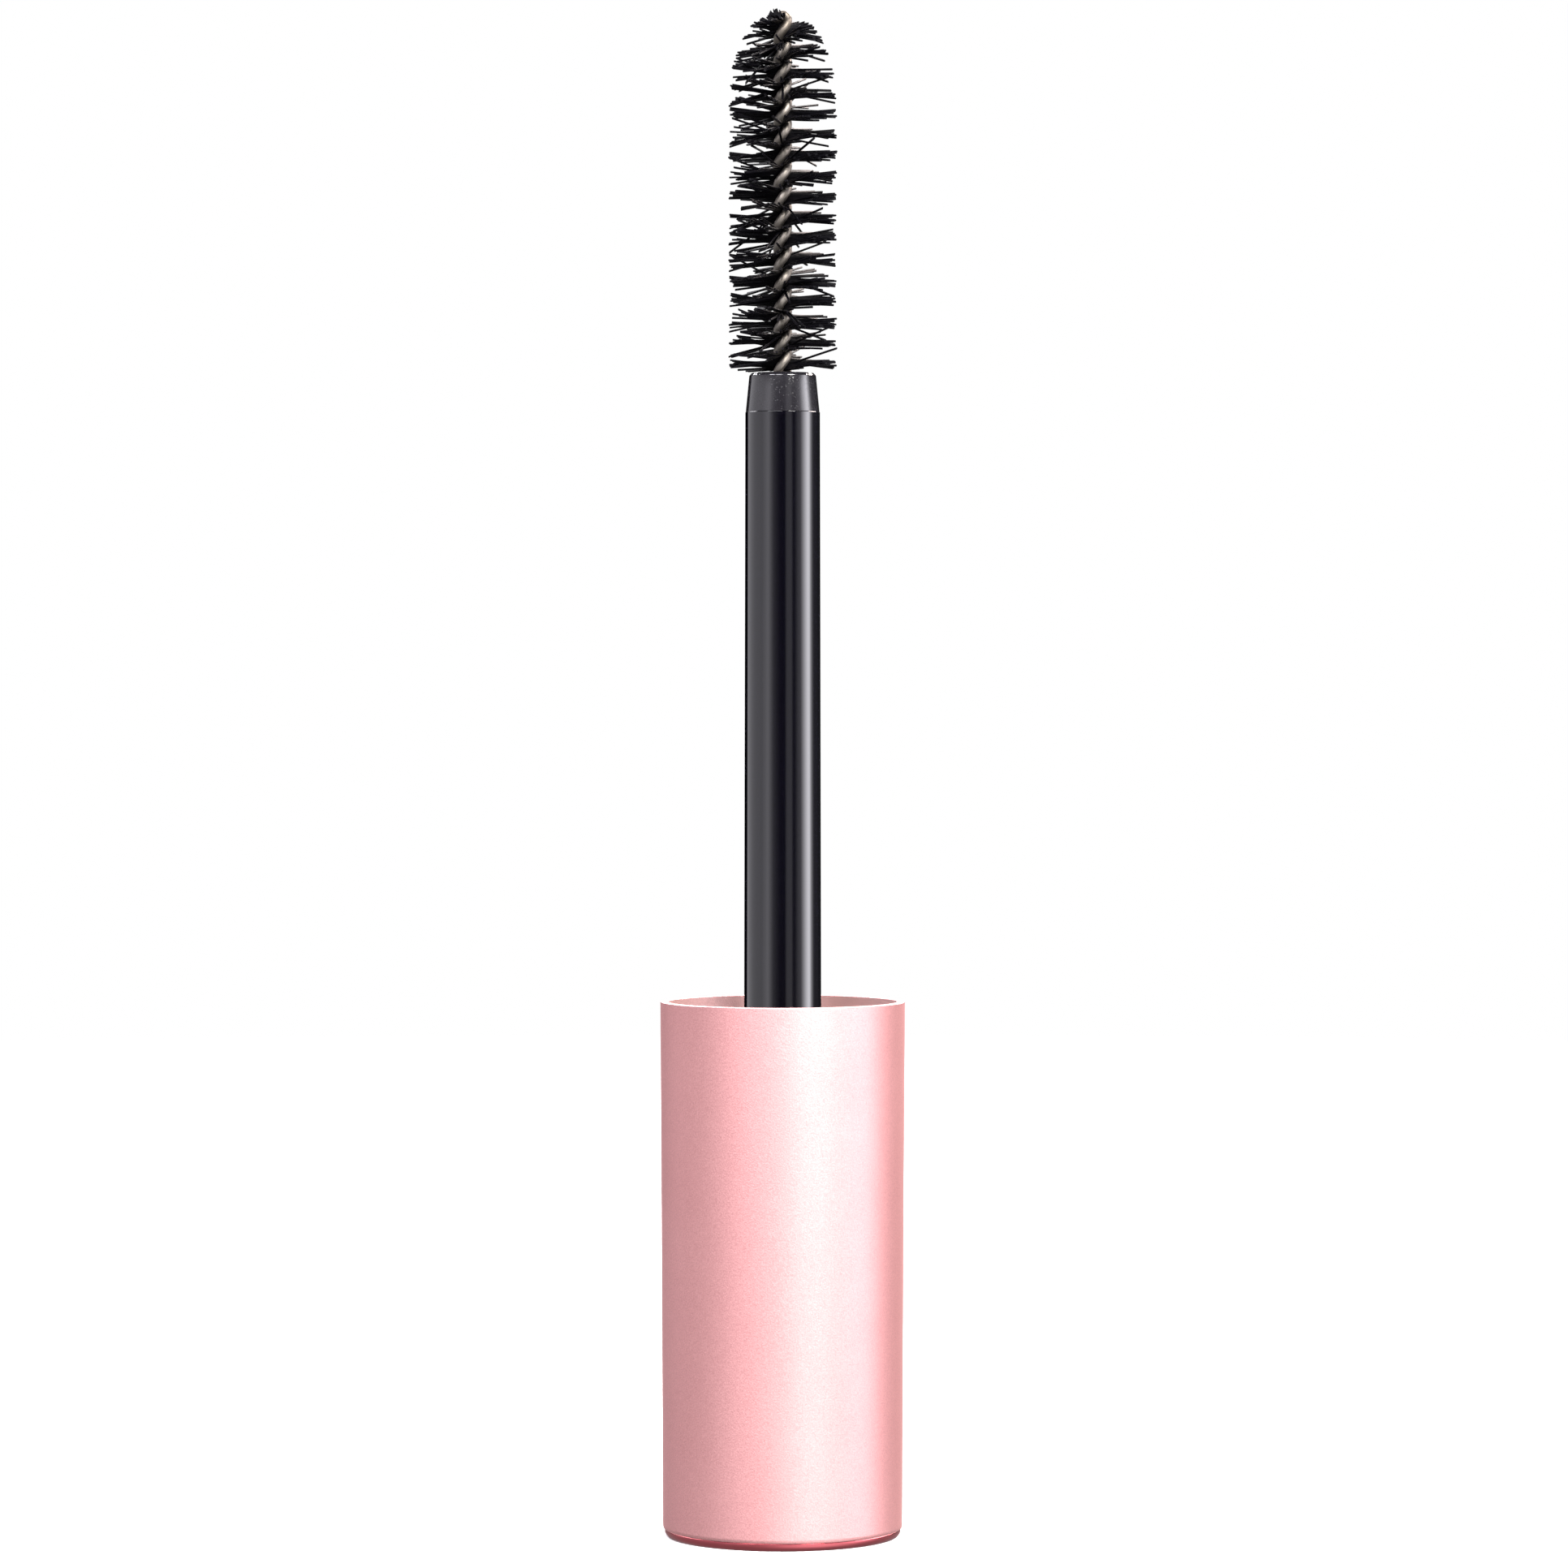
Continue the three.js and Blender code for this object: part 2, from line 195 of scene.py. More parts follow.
class Recipe:
    """One node tree, of a material or of the world."""

    def __init__(self, owner):
        owner.use_nodes = True
        self.owner = owner
        self.tree = owner.node_tree
        self.tree.nodes.clear()

    def node(self, kind, settings=None, inputs=None, out=None):
        """Adds a node and returns its output named out, or its first one."""
        made = self.tree.nodes.new(kind)
        for key, setting in (settings or {}).items():
            if key == "stops":
                self.set_stops(made.color_ramp, setting)
            else:
                setattr(made, key, setting)
        for key, given in (inputs or {}).items():
            named = [s for s in made.inputs if s.name == key and s.enabled]
            socket = named[0] if named else made.inputs[key]
            if isinstance(given, Value):
                self.tree.links.new(given.socket, socket)
            else:
                socket.default_value = given
        found = [s for s in made.outputs if s.enabled and out in (None, s.name)]
        return Value(self, found[0]) if found else None

    def set_stops(self, ramp, stops):
        """Gives a colour ramp its stops, as (place, colour) pairs."""
        while len(ramp.elements) < len(stops):
            ramp.elements.new(1.0)
        for element, (place, colour) in zip(ramp.elements, stops):
            element.position = place
            element.color = (*colour, 1.0)

    def mix(self, mask, low, high):
        """Colour low where mask is 0 and colour high where it is 1."""
        colours = {"Factor": mask, "A": low, "B": high}
        return self.node("ShaderNodeMix", {"data_type": "RGBA"}, colours)

    def noise(self, place, scale, detail):
        """Soft random spots, about 1/scale metres across, between 0 and 1."""
        inputs = {"Vector": place, "Scale": scale, "Detail": detail}
        return self.node("ShaderNodeTexNoise", {}, inputs, "Fac")

    def axes(self, place):
        """The three numbers of a vector."""
        split = {"Vector": place}
        return [self.node("ShaderNodeSeparateXYZ", {}, split, axis) for axis in "XYZ"]


print("node recipes are ready")

# %% [markdown]
# The table is a plain white sheet. A studio's sheet runs out of sight behind the product, so this one is
# a large disc that fades away towards its edge and leaves only the white background. It is kept out of
# reflections, which come from the screens of the next step instead.

# %% White table
TABLE_RADIUS = 0.6
TABLE_FADE = 0.3
TABLE_SIDES = 128
PAPER_PER_METRE = 900.0
PAPER_LOW = (0.56, 0.56, 0.56, 1.0)
PAPER_HIGH = (0.60, 0.60, 0.60, 1.0)

sheet = bmesh.new()
bmesh.ops.create_circle(sheet, cap_ends=True, segments=TABLE_SIDES, radius=TABLE_RADIUS)
table_mesh = bpy.data.meshes.new("table")
sheet.to_mesh(table_mesh)
sheet.free()
table = bpy.data.objects.new("table", table_mesh)
scene.collection.objects.link(table)
table.visible_glossy = False
table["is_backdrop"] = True

recipe = Recipe(bpy.data.materials.new("white_sheet"))
here = recipe.node("ShaderNodeTexCoord", out="Object")
across, along, _ = recipe.axes(here)
from_centre = (across * across + along * along) ** 0.5
fade = from_centre.step(TABLE_FADE, TABLE_RADIUS)
paper = recipe.noise(here, PAPER_PER_METRE, detail=4.0)
tone = recipe.mix(paper, PAPER_LOW, PAPER_HIGH)
solid = recipe.node("ShaderNodeBsdfDiffuse", {}, {"Color": tone, "Roughness": 0.5})
clear = recipe.node("ShaderNodeBsdfTransparent")
surface = recipe.node("ShaderNodeMixShader", {}, {0: fade, 1: solid, 2: clear})
recipe.node("ShaderNodeOutputMaterial", {}, {"Surface": surface})
table_mesh.materials.append(recipe.owner)
print("table:", TABLE_RADIUS, "m in radius")

# %% [markdown]
# A gloss black stem shows no colour of its own, only what stands round it: each upright stripe on it is a
# screen or a gap between screens. So the studio is drawn as a ring of cool screens whose brightness
# changes with direction. Above the ring the ceiling is dim, and below it the floor glows, most of all
# towards the key light. The ring could be a row of lit panels, but a world background drawn from the
# direction of a ray gives soft edges for free. Directions are degrees round the product, 0 towards the
# camera and positive to the right.

# %% Ring of screens
SCREENS = [
    (-180, 0.0), (-137, 0.0), (-132, 0.75), (-116, 0.80), (-95, 0.70), (-65, 0.74), (-54, 1.0),
    (-45, 1.2), (-38, 0.8), (-28, 0.25), (-15, 0.06), (-6, 0.0), (7, 0.0), (11, 0.25),
    (15, 0.36), (26, 0.36), (30, 0.12), (33, 0.02), (38, 0.04), (48, 0.35), (57, 0.6),
    (64, 1.9), (70, 3.3), (76, 4.6), (84, 6.0), (90, 5.0), (95, 2.2), (100, 1.0),
    (106, 0.22), (113, 0.08), (140, 0.02), (180, 0.0),
]
SCREEN_PEAK = 8.0
SCREEN_TINT = (1.03, 1.01, 1.08)
SCREEN_BOTTOM = -0.125
SCREEN_TOP = 0.295
SCREEN_EDGE = 0.05
CEILING = 0.10
FLOOR_GLOW = 0.35
FLOOR_SHEEN = 1.9
SHEEN_TOWARDS = math.radians(33)
SHEEN_FOCUS = 4
BACKGROUND = 1.0

world = bpy.data.worlds.new("studio")
scene.world = world
recipe = Recipe(world)
ray = recipe.node("ShaderNodeTexCoord", out="Generated")
right, away, up = recipe.axes(ray)
direction = right.sum("ARCTAN2", right, away * -1.0) / FULL_TURN + 0.5
stops = []
for degrees, brightness in SCREENS:
    colour = tuple(brightness / SCREEN_PEAK * part for part in SCREEN_TINT)
    stops.append((degrees / 360 + 0.5, colour))
level = recipe.node("ShaderNodeValToRGB", {"stops": stops}, {"Fac": direction})
above = up.step(SCREEN_TOP - SCREEN_EDGE, SCREEN_TOP)
below = up.step(SCREEN_BOTTOM + SCREEN_EDGE, SCREEN_BOTTOM)
strength = (1 - above - below) * SCREEN_PEAK
screens = recipe.node("ShaderNodeBackground", {}, {"Color": level, "Strength": strength})
sheen = (right * math.sin(SHEEN_TOWARDS) - away * math.cos(SHEEN_TOWARDS)).step(0, 1) ** SHEEN_FOCUS
glow = above * CEILING + below * (FLOOR_GLOW + sheen * FLOOR_SHEEN)
ambient = recipe.node("ShaderNodeBackground", {}, {"Color": (1, 1, 1, 1), "Strength": glow})
lit = recipe.node("ShaderNodeAddShader", {}, {0: screens, 1: ambient})
seen = recipe.node("ShaderNodeBackground", {}, {"Color": (1, 1, 1, 1), "Strength": BACKGROUND})
straight = recipe.node("ShaderNodeLightPath", out="Is Camera Ray")
background = recipe.node("ShaderNodeMixShader", {}, {0: straight, 1: lit, 2: seen})
recipe.node("ShaderNodeOutputWorld", {}, {"Surface": background})
print("screens:", len(SCREENS), "steps round the product")

# %% [markdown]
# The cap is satin metal, which blurs what it reflects, so its shading comes from soft boxes. The warm key
# light stands to the right of the camera and makes the bright band on the cap, and it is narrow to keep
# that band slim. A cool fill lights the left side. A rim light on each side, cool on the left and salmon
# on the right, draws the cap's edges from a little behind, and a back light serves the views from behind.
# The boxes hang high, because lower down the cone of the ferrule would mirror them as white patches. A
# light's strength is easier to plan as the brightness of its face, so the helper works out the power from
# that.

# %% Soft boxes
LIGHT_TARGET = Vector((0.0, 0.0, 0.05))
LIGHT_DISTANCE = 1.5
LIGHT_RAISED = math.radians(36)
KEY_WIDTH = 0.5
WIDE = 1.07
LIGHT_HEIGHT = 0.45
WATTS_PER_BRIGHTNESS = math.pi
WARM = (1.0, 0.985, 0.95)
COOL = (1.0, 0.985, 1.04)
SALMON = (1.0, 0.89, 0.85)


def soft_box(name, degrees, width, brightness, colour):
    """A soft box that looks down at the product from a direction."""
    light = bpy.data.lights.new(name, "AREA")
    light.color = colour
    light.shape = "RECTANGLE"
    light.size = width
    light.size_y = LIGHT_HEIGHT
    light.energy = WATTS_PER_BRIGHTNESS * width * LIGHT_HEIGHT * brightness
    turn, lift = math.radians(degrees), LIGHT_RAISED
    level = Vector((math.sin(turn), -math.cos(turn), 0)) * math.cos(lift)
    offset = level + Vector((0, 0, math.sin(lift)))
    lamp = bpy.data.objects.new(name, light)
    lamp.location = LIGHT_TARGET + offset * LIGHT_DISTANCE
    lamp.rotation_euler = (-offset).to_track_quat("-Z", "Y").to_euler()
    lamp.visible_camera = False
    scene.collection.objects.link(lamp)
    print(name + ":", round(light.energy, 2), "W")


soft_box("key_light", 33, KEY_WIDTH, 93.0, WARM)
soft_box("left_fill", -25, WIDE, 26.0, COOL)
soft_box("left_rim", -128, WIDE, 16.0, COOL)
soft_box("right_rim", 135, WIDE, 44.0, SALMON)
soft_box("back_light", 180, WIDE, 15.0, WARM)

# %% [markdown]
# Most pieces here are round: drawn, turned or moulded. Half of such a piece's section is a few corners,
# listed from the axis outwards as radius, height and the rounding of that corner. A lathe could be a
# Screw modifier on a curve, but a bmesh bevel on the section's corners and one spin give the same shape
# with nothing left to apply.

# %% Lathe
ROUND_SEGMENTS = 5


def turned(corners, steps, closed=True):
    """Spins a section of (radius, height, rounding) corners, in millimetres, into a round shape."""
    shape = bmesh.new()
    points = [shape.verts.new((radius * MM, 0, height * MM)) for radius, height, _ in corners]
    followers = points[1:] + points[:1] if closed else points[1:]
    for start, end in zip(points, followers):
        shape.edges.new((start, end))
    for point, (_, _, rounding) in zip(points, corners):
        if rounding:
            bmesh.ops.bevel(
                shape, geom=[point], offset=rounding * MM, offset_type="OFFSET",
                segments=ROUND_SEGMENTS, profile=0.5, affect="VERTICES", clamp_overlap=True, material=-1,
            )
    bmesh.ops.spin(
        shape, geom=shape.verts[:] + shape.edges[:], cent=(0, 0, 0), axis=(0, 0, 1), dvec=(0, 0, 0),
        angle=FULL_TURN, steps=steps, use_merge=True,
    )
    return shape


# %% [markdown]
# Every piece ends the same way. Doubled points on the axis and at the seam are merged, the faces are
# turned outwards, and the mesh is shaded smooth but for its true corners. A Weighted Normal modifier lets
# the long straight walls keep their own direction next to a small rounding, which matters on gloss. The
# piece then rides on the measured model's one body and stands for its node.

# %% Finishing a piece
MERGE_DISTANCE = 0.0005 * MM
CORNER_ANGLE = math.radians(40)
AREA_WEIGHT = 90


def finish_piece(name, shape, node, material):
    """Turns a bmesh into the finished piece that stands for a measured node."""
    bmesh.ops.remove_doubles(shape, verts=shape.verts, dist=MERGE_DISTANCE)
    bmesh.ops.recalc_face_normals(shape, faces=shape.faces)
    mesh = bpy.data.meshes.new(name)
    shape.to_mesh(mesh)
    shape.free()
    mesh.shade_smooth()
    mesh.set_sharp_from_angle(angle=CORNER_ANGLE)
    mesh.materials.append(material)
    piece = bpy.data.objects.new(name, mesh)
    scene.collection.objects.link(piece)
    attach(piece, "root")
    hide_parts(node)
    print(name + ":", len(mesh.polygons), "faces")
    return piece


def keep_walls_straight(piece):
    """Weights a piece's normals by face area."""
    weighting = piece.modifiers.new("straight_walls", "WEIGHTED_NORMAL")
    weighting.keep_sharp = True
    weighting.weight = AREA_WEIGHT


print("lathe and finishing are ready")

# %% [markdown]
# The sleeve is drawn aluminium with a satin rose finish. Seen close, a satin blast leaves a grain of
# about a tenth of a millimetre, and the colour drifts a little over every few millimetres. The cut lip at
# the mouth is painted a little darker, as painted shade that dulls the bright line the lights draw on it.
# The inside wall is painted darker still and more beige, as painted shade of the mouth's recess, and it
# is also made duller. Height and distance from the axis tell these zones apart.

# %% Satin rose metal
SATIN_LOW = (0.72, 0.35, 0.355, 1.0)
SATIN_HIGH = (0.88, 0.47, 0.47, 1.0)
# Painted shade: the inside wall gets a darker, more beige colour than the outside.
INSIDE_PAINTED_SHADE = (0.56, 0.35, 0.335, 1.0)
# Painted shade: the lip gets a darker colour that dulls its highlight.
LIP_PAINTED_SHADE = (0.62, 0.36, 0.36, 1.0)
GRAIN_PER_METRE = 9500.0
GRAIN_SPAN = (0.32, 0.68)
GRAIN_SHARE = 0.75
CLOUD_PER_METRE = 180.0
CLOUD_SPAN = (0.2, 0.8)
INSIDE_FROM, INSIDE_TO = sleeve_high.x - 0.2, sleeve_high.x - 0.4
LIP_FROM, LIP_TO = sleeve_high.z - 0.09, sleeve_high.z - 0.05
SATIN_ROUGHNESS = 0.45
GRAIN_ROUGHNESS = 0.08
INSIDE_ROUGHNESS = 0.07

recipe = Recipe(bpy.data.materials.new("satin_rose_metal"))
here = recipe.node("ShaderNodeTexCoord", out="Object")
x, y, z = recipe.axes(here)
from_axis = (x * x + y * y) ** 0.5
grain = recipe.noise(here, GRAIN_PER_METRE, detail=3.0)
cloud = recipe.noise(here, CLOUD_PER_METRE, detail=3.0)
drift = grain.step(*GRAIN_SPAN) * GRAIN_SHARE + cloud.step(*CLOUD_SPAN) * (1 - GRAIN_SHARE)
outside = recipe.mix(drift, SATIN_LOW, SATIN_HIGH)
inner_wall = from_axis.step(INSIDE_FROM * MM, INSIDE_TO * MM)
# The inner wall's darker colour is painted shade of the recess. Its extra roughness below is real.
wall = recipe.mix(inner_wall, outside, INSIDE_PAINTED_SHADE)
lip = z.step(LIP_FROM * MM, LIP_TO * MM)
# The lip's darker colour is painted shade.
colour = recipe.mix(lip, wall, LIP_PAINTED_SHADE)
roughness = SATIN_ROUGHNESS + grain * GRAIN_ROUGHNESS + inner_wall * INSIDE_ROUGHNESS
relief = recipe.node("ShaderNodeBump", {}, {"Strength": 0.5, "Distance": 0.02 * MM, "Height": grain})
metal = {"Base Color": colour, "Metallic": 1.0, "Roughness": roughness, "Normal": relief}
shader = recipe.node("ShaderNodeBsdfPrincipled", {}, metal)
recipe.node("ShaderNodeOutputMaterial", {}, {"Surface": shader})
satin_rose = recipe.owner
print("finish:", satin_rose.name)

# %% [markdown]
# The sleeve is a thin tube, a little wider at its mouth. Its wall is just over half a millimetre thick,
# small roundings break the edges of its lip, and its foot turns in slightly above the plug that closes
# it. Like the table, it is kept out of reflections, so that the stem's stripes run down to the lip
# instead of turning dark inside it.

# %% Cap sleeve
SLEEVE_WALL = 0.57
FOOT_RADIUS = 8.826
FOOT_CURL_RADIUS = 8.77
FOOT_CURL_TOP = 0.80

sleeve_shape = turned(
    [
        (FOOT_CURL_RADIUS, sleeve_low.z, 0.04),
        (FOOT_RADIUS, FOOT_CURL_TOP, 0.08),
        (sleeve_high.x, sleeve_high.z, 0.06),
        (sleeve_high.x - SLEEVE_WALL, sleeve_high.z, 0.06),
        (FOOT_RADIUS - SLEEVE_WALL, sleeve_low.z, 0.0),
    ],
    steps=160,
)
sleeve = finish_piece("cap_sleeve_fine", sleeve_shape, "cap_sleeve", satin_rose)
keep_walls_straight(sleeve)
sleeve.visible_glossy = False

# %% [markdown]
# The plug that closes the foot is moulded and metallised in a deeper rose, under a thin clear lacquer.
# The lacquer adds a second, sharper shine to the metal's own. Two shaders could be mixed for that, but
# the shader has a coat layer of its own.

# %% Lacquered rose
ROSE_LOW = (0.50, 0.095, 0.115, 1.0)
ROSE_HIGH = (0.60, 0.14, 0.16, 1.0)
ROSE_GRAIN_PER_METRE = 3000.0
ROSE_CLOUD_PER_METRE = 150.0

recipe = Recipe(bpy.data.materials.new("lacquered_rose"))
here = recipe.node("ShaderNodeTexCoord", out="Object")
grain = recipe.noise(here, ROSE_GRAIN_PER_METRE, detail=3.0)
cloud = recipe.noise(here, ROSE_CLOUD_PER_METRE, detail=2.0)
colour = recipe.mix(cloud, ROSE_LOW, ROSE_HIGH)
relief = recipe.node("ShaderNodeBump", {}, {"Strength": 0.15, "Distance": 0.01 * MM, "Height": grain})
metal = {
    "Base Color": colour, "Metallic": 1.0, "Roughness": 0.30 + grain * 0.10, "Normal": relief,
    "Coat Weight": 0.25, "Coat Roughness": 0.15,
}
shader = recipe.node("ShaderNodeBsdfPrincipled", {}, metal)
recipe.node("ShaderNodeOutputMaterial", {}, {"Surface": shader})
lacquered_rose = recipe.owner
print("finish:", lacquered_rose.name)

# %% [markdown]
# The plug is a disc with a ring that presses into the sleeve. Only its rounded rim shows, below a
# hairline gap. Its section starts and ends on the axis, so the spin closes it at two poles.

# %% End plug
PLUG_RIM = 0.57
PLUG_EDGE = 8.69
PLUG_RING = 8.1
PLUG_RING_WALL = 0.9
PLUG_FLOOR = 1.3

plug_shape = turned(
    [
        (0.0, plug_low.z, 0.0),
        (PLUG_EDGE, plug_low.z, 0.42),
        (PLUG_EDGE, PLUG_RIM, 0.02),
        (PLUG_RING, PLUG_RIM, 0.0),
        (PLUG_RING, plug_high.z, 0.15),
        (PLUG_RING - PLUG_RING_WALL, plug_high.z, 0.15),
        (PLUG_RING - PLUG_RING_WALL, PLUG_FLOOR, 0.2),
        (0.0, PLUG_FLOOR, 0.0),
    ],
    steps=128,
    closed=False,
)
plug = finish_piece("cap_end_plug_fine", plug_shape, "cap_end_plug", lacquered_rose)
keep_walls_straight(plug)

# %% [markdown]
# A steel weight on the plug's floor gives the cap its heft. It is turned on a lathe, and the tool leaves
# fine rings. A wave texture could draw them, but a sine of the distance from the axis and the height
# gives even rings on the flat ends and on the side alike.

# %% Turned steel
STEEL_LOW = (0.52, 0.52, 0.54, 1.0)
STEEL_HIGH = (0.64, 0.63, 0.62, 1.0)
RING_WAVES = 30000.0
STEEL_STAIN_PER_METRE = 400.0

recipe = Recipe(bpy.data.materials.new("turned_steel"))
here = recipe.node("ShaderNodeTexCoord", out="Object")
x, y, z = recipe.axes(here)
from_axis = (x * x + y * y) ** 0.5
rings = ((from_axis + z) * RING_WAVES).sine() * 0.5 + 0.5
stain = recipe.noise(here, STEEL_STAIN_PER_METRE, detail=3.0)
colour = recipe.mix(stain, STEEL_LOW, STEEL_HIGH)
relief = recipe.node("ShaderNodeBump", {}, {"Strength": 0.4, "Distance": 0.01 * MM, "Height": rings})
metal = {"Base Color": colour, "Metallic": 1.0, "Roughness": 0.30 + stain * 0.15, "Normal": relief}
shader = recipe.node("ShaderNodeBsdfPrincipled", {}, metal)
recipe.node("ShaderNodeOutputMaterial", {}, {"Surface": shader})
turned_steel = recipe.owner
print("finish:", turned_steel.name)

# %% [markdown]
# The weight itself is a plain slug with broken edges. A cylinder with a Bevel modifier would do, but the
# same lathe as for the other round pieces gives it in one call.

# %% Steel weight
WEIGHT_EDGE = 0.4

weight_shape = turned(
    [
        (0.0, weight_low.z, 0.0),
        (weight_high.x, weight_low.z, WEIGHT_EDGE),
        (weight_high.x, weight_high.z, WEIGHT_EDGE),
        (0.0, weight_high.z, 0.0),
    ],
    steps=96,
    closed=False,
)
weight = finish_piece("cap_weight_fine", weight_shape, "cap_weight", turned_steel)
keep_walls_straight(weight)

# %% [markdown]
# The inner cap is moulded in a pale satin plastic. Moulded plastic is even, with faint flow marks and the
# texture of the mould's steel, so its colour and shine change only a little. Two noises, a coarse and a
# fine one, are enough.

# %% Pale moulded plastic
PALE_LOW = (0.46, 0.37, 0.355, 1.0)
PALE_HIGH = (0.53, 0.43, 0.415, 1.0)
FLOW_PER_METRE = 120.0
MOULD_TEXTURE_PER_METRE = 5000.0

recipe = Recipe(bpy.data.materials.new("pale_moulded_plastic"))
here = recipe.node("ShaderNodeTexCoord", out="Object")
flow = recipe.noise(here, FLOW_PER_METRE, detail=4.0)
texture = recipe.noise(here, MOULD_TEXTURE_PER_METRE, detail=2.0)
colour = recipe.mix(flow, PALE_LOW, PALE_HIGH)
relief = recipe.node("ShaderNodeBump", {}, {"Strength": 0.2, "Distance": 0.01 * MM, "Height": texture})
plastic = {"Base Color": colour, "Roughness": 0.42 + texture * 0.12, "Normal": relief}
shader = recipe.node("ShaderNodeBsdfPrincipled", {}, plastic)
recipe.node("ShaderNodeOutputMaterial", {}, {"Surface": shader})
pale_plastic = recipe.owner
print("finish:", pale_plastic.name)

# %% [markdown]
# The inner cap holds the screw thread for the tube's neck. Its body is one spun section: outer wall, neck
# socket above the web, and below it the socket that the stem snaps into. Tubes and discs joined by
# booleans would give it too, but one section spins all its walls at once.

# %% Inner cap's body
NECK_BORE = 7.5
NECK_FLOOR = 25.5
SKIRT_BORE = 7.2
WEB = 1.6
SOCKET_RADIUS = 4.2
SOCKET_BOTTOM = 12.0
STEM_BORE_IN_CAP = 2.95
LINER_FOOT = 8.13

liner_shape = turned(
    [
        (STEM_BORE_IN_CAP, SOCKET_BOTTOM, 0.1),
        (STEM_BORE_IN_CAP, NECK_FLOOR, 0.0),
        (NECK_BORE, NECK_FLOOR, 0.3),
        (NECK_BORE, liner_high.z, 0.25),
        (liner_high.x, liner_high.z, 0.08),
        (LINER_FOOT, liner_low.z, 0.15),
        (SKIRT_BORE, liner_low.z, 0.15),
        (SKIRT_BORE, NECK_FLOOR - WEB, 0.3),
        (SOCKET_RADIUS, NECK_FLOOR - WEB, 0.2),
        (SOCKET_RADIUS, SOCKET_BOTTOM, 0.1),
    ],
    steps=128,
)
print("inner cap's body:", len(liner_shape.faces), "faces")

# %% [markdown]
# A thread is a ridge that climbs as it turns, so a spin with a rise makes it, where a Screw modifier
# would need an object of its own. Its two ends run out into the wall, as a mould cuts them: near each end
# the crest is moved back to the ridge's root.

# %% Neck thread
THREAD = {"root": 7.7, "crest": 6.95, "base": 0.62, "tip": 0.3, "pitch": 2.6, "turns": 1.9, "start": 29.0}
THREAD_STEPS = 120
RUN_OUT = 0.12
CREST_SLACK = 0.02


def ramp(value, start, over):
    """0 up to start, then rising to 1 over a length."""
    return min(max((value - start) / over, 0), 1)


ridge = [
    (THREAD["root"], -THREAD["base"]), (THREAD["root"], THREAD["base"]),
    (THREAD["crest"], THREAD["tip"]), (THREAD["crest"], -THREAD["tip"]),
]
ridge_points = [liner_shape.verts.new((r * MM, 0, (THREAD["start"] + h) * MM)) for r, h in ridge]
ridge_face = liner_shape.faces.new(ridge_points)
ridge_edges = ridge_face.edges[:]
liner_shape.faces.remove(ridge_face)
climb = THREAD["pitch"] * THREAD["turns"] / THREAD_STEPS * MM
wound = bmesh.ops.spin(
    liner_shape, geom=ridge_points + ridge_edges, cent=(0, 0, 0), axis=(0, 0, 1), dvec=(0, 0, climb),
    angle=FULL_TURN * THREAD["turns"], steps=THREAD_STEPS, use_merge=False,
)
last_edges = [part for part in wound["geom_last"] if isinstance(part, bmesh.types.BMEdge)]
bmesh.ops.contextual_create(liner_shape, geom=ridge_edges)
bmesh.ops.contextual_create(liner_shape, geom=last_edges)
for point in liner_shape.verts:
    radius = math.hypot(point.co.x, point.co.y) / MM
    risen = (point.co.z / MM - THREAD["start"]) / THREAD["pitch"]
    on_crest = SOCKET_RADIUS + 1 < radius < THREAD["crest"] + CREST_SLACK
    if on_crest and -0.5 < risen < THREAD["turns"] + 0.5:
        full = ramp(min(risen, THREAD["turns"] - risen), 0, RUN_OUT)
        wanted = THREAD["root"] + (THREAD["crest"] - THREAD["root"]) * full
        point.co.x *= wanted / radius
        point.co.y *= wanted / radius
print("neck thread:", THREAD["turns"], "turns at a pitch of", THREAD["pitch"], "mm")

# %% [markdown]
# Twelve thin ribs on the outside grip the sleeve. Each is a small block that leans with the wall, set
# into it so that only a hair of it stands proud, and turned to its place round the axis.

# %% Grip ribs
RIBS = 12
RIB = {"width": 0.7, "depth": 0.5, "bottom": 6.0, "top": 34.0, "proud": 0.08}

rib_size = Vector((RIB["depth"], RIB["width"], RIB["top"] - RIB["bottom"])) * MM
rib_middle = (RIB["top"] + RIB["bottom"]) / 2
wall_lean = math.atan((liner_high.x - LINER_FOOT) / (liner_high.z - liner_low.z))
wall_share = (rib_middle - liner_low.z) / (liner_high.z - liner_low.z)
rib_face = LINER_FOOT + (liner_high.x - LINER_FOOT) * wall_share + RIB["proud"]
rib_place = Vector((rib_face - RIB["depth"] / 2, 0, rib_middle)) * MM
for number in range(RIBS):
    rib = bmesh.ops.create_cube(liner_shape, size=1.0)["verts"]
    bmesh.ops.scale(liner_shape, vec=rib_size, verts=rib)
    bmesh.ops.rotate(liner_shape, cent=(0, 0, 0), matrix=Matrix.Rotation(wall_lean, 3, "Y"), verts=rib)
    bmesh.ops.translate(liner_shape, vec=rib_place, verts=rib)
    turn = Matrix.Rotation(FULL_TURN * number / RIBS, 3, "Z")
    bmesh.ops.rotate(liner_shape, cent=(0, 0, 0), matrix=turn, verts=rib)
liner = finish_piece("inner_cap_fine", liner_shape, "inner_cap", pale_plastic)
keep_walls_straight(liner)

# %% [markdown]
# A soft washer on the neck socket's floor seals the tube's rim when the cap is screwed down. It is cut
# from a fine foam, so it is matt with tiny cells, and a Voronoi texture has such cells ready.

# %% Seal foam
FOAM_LOW = (0.46, 0.45, 0.42, 1.0)
FOAM_HIGH = (0.54, 0.53, 0.50, 1.0)
CELLS_PER_METRE = 4500.0
FOAM_TINT_PER_METRE = 500.0

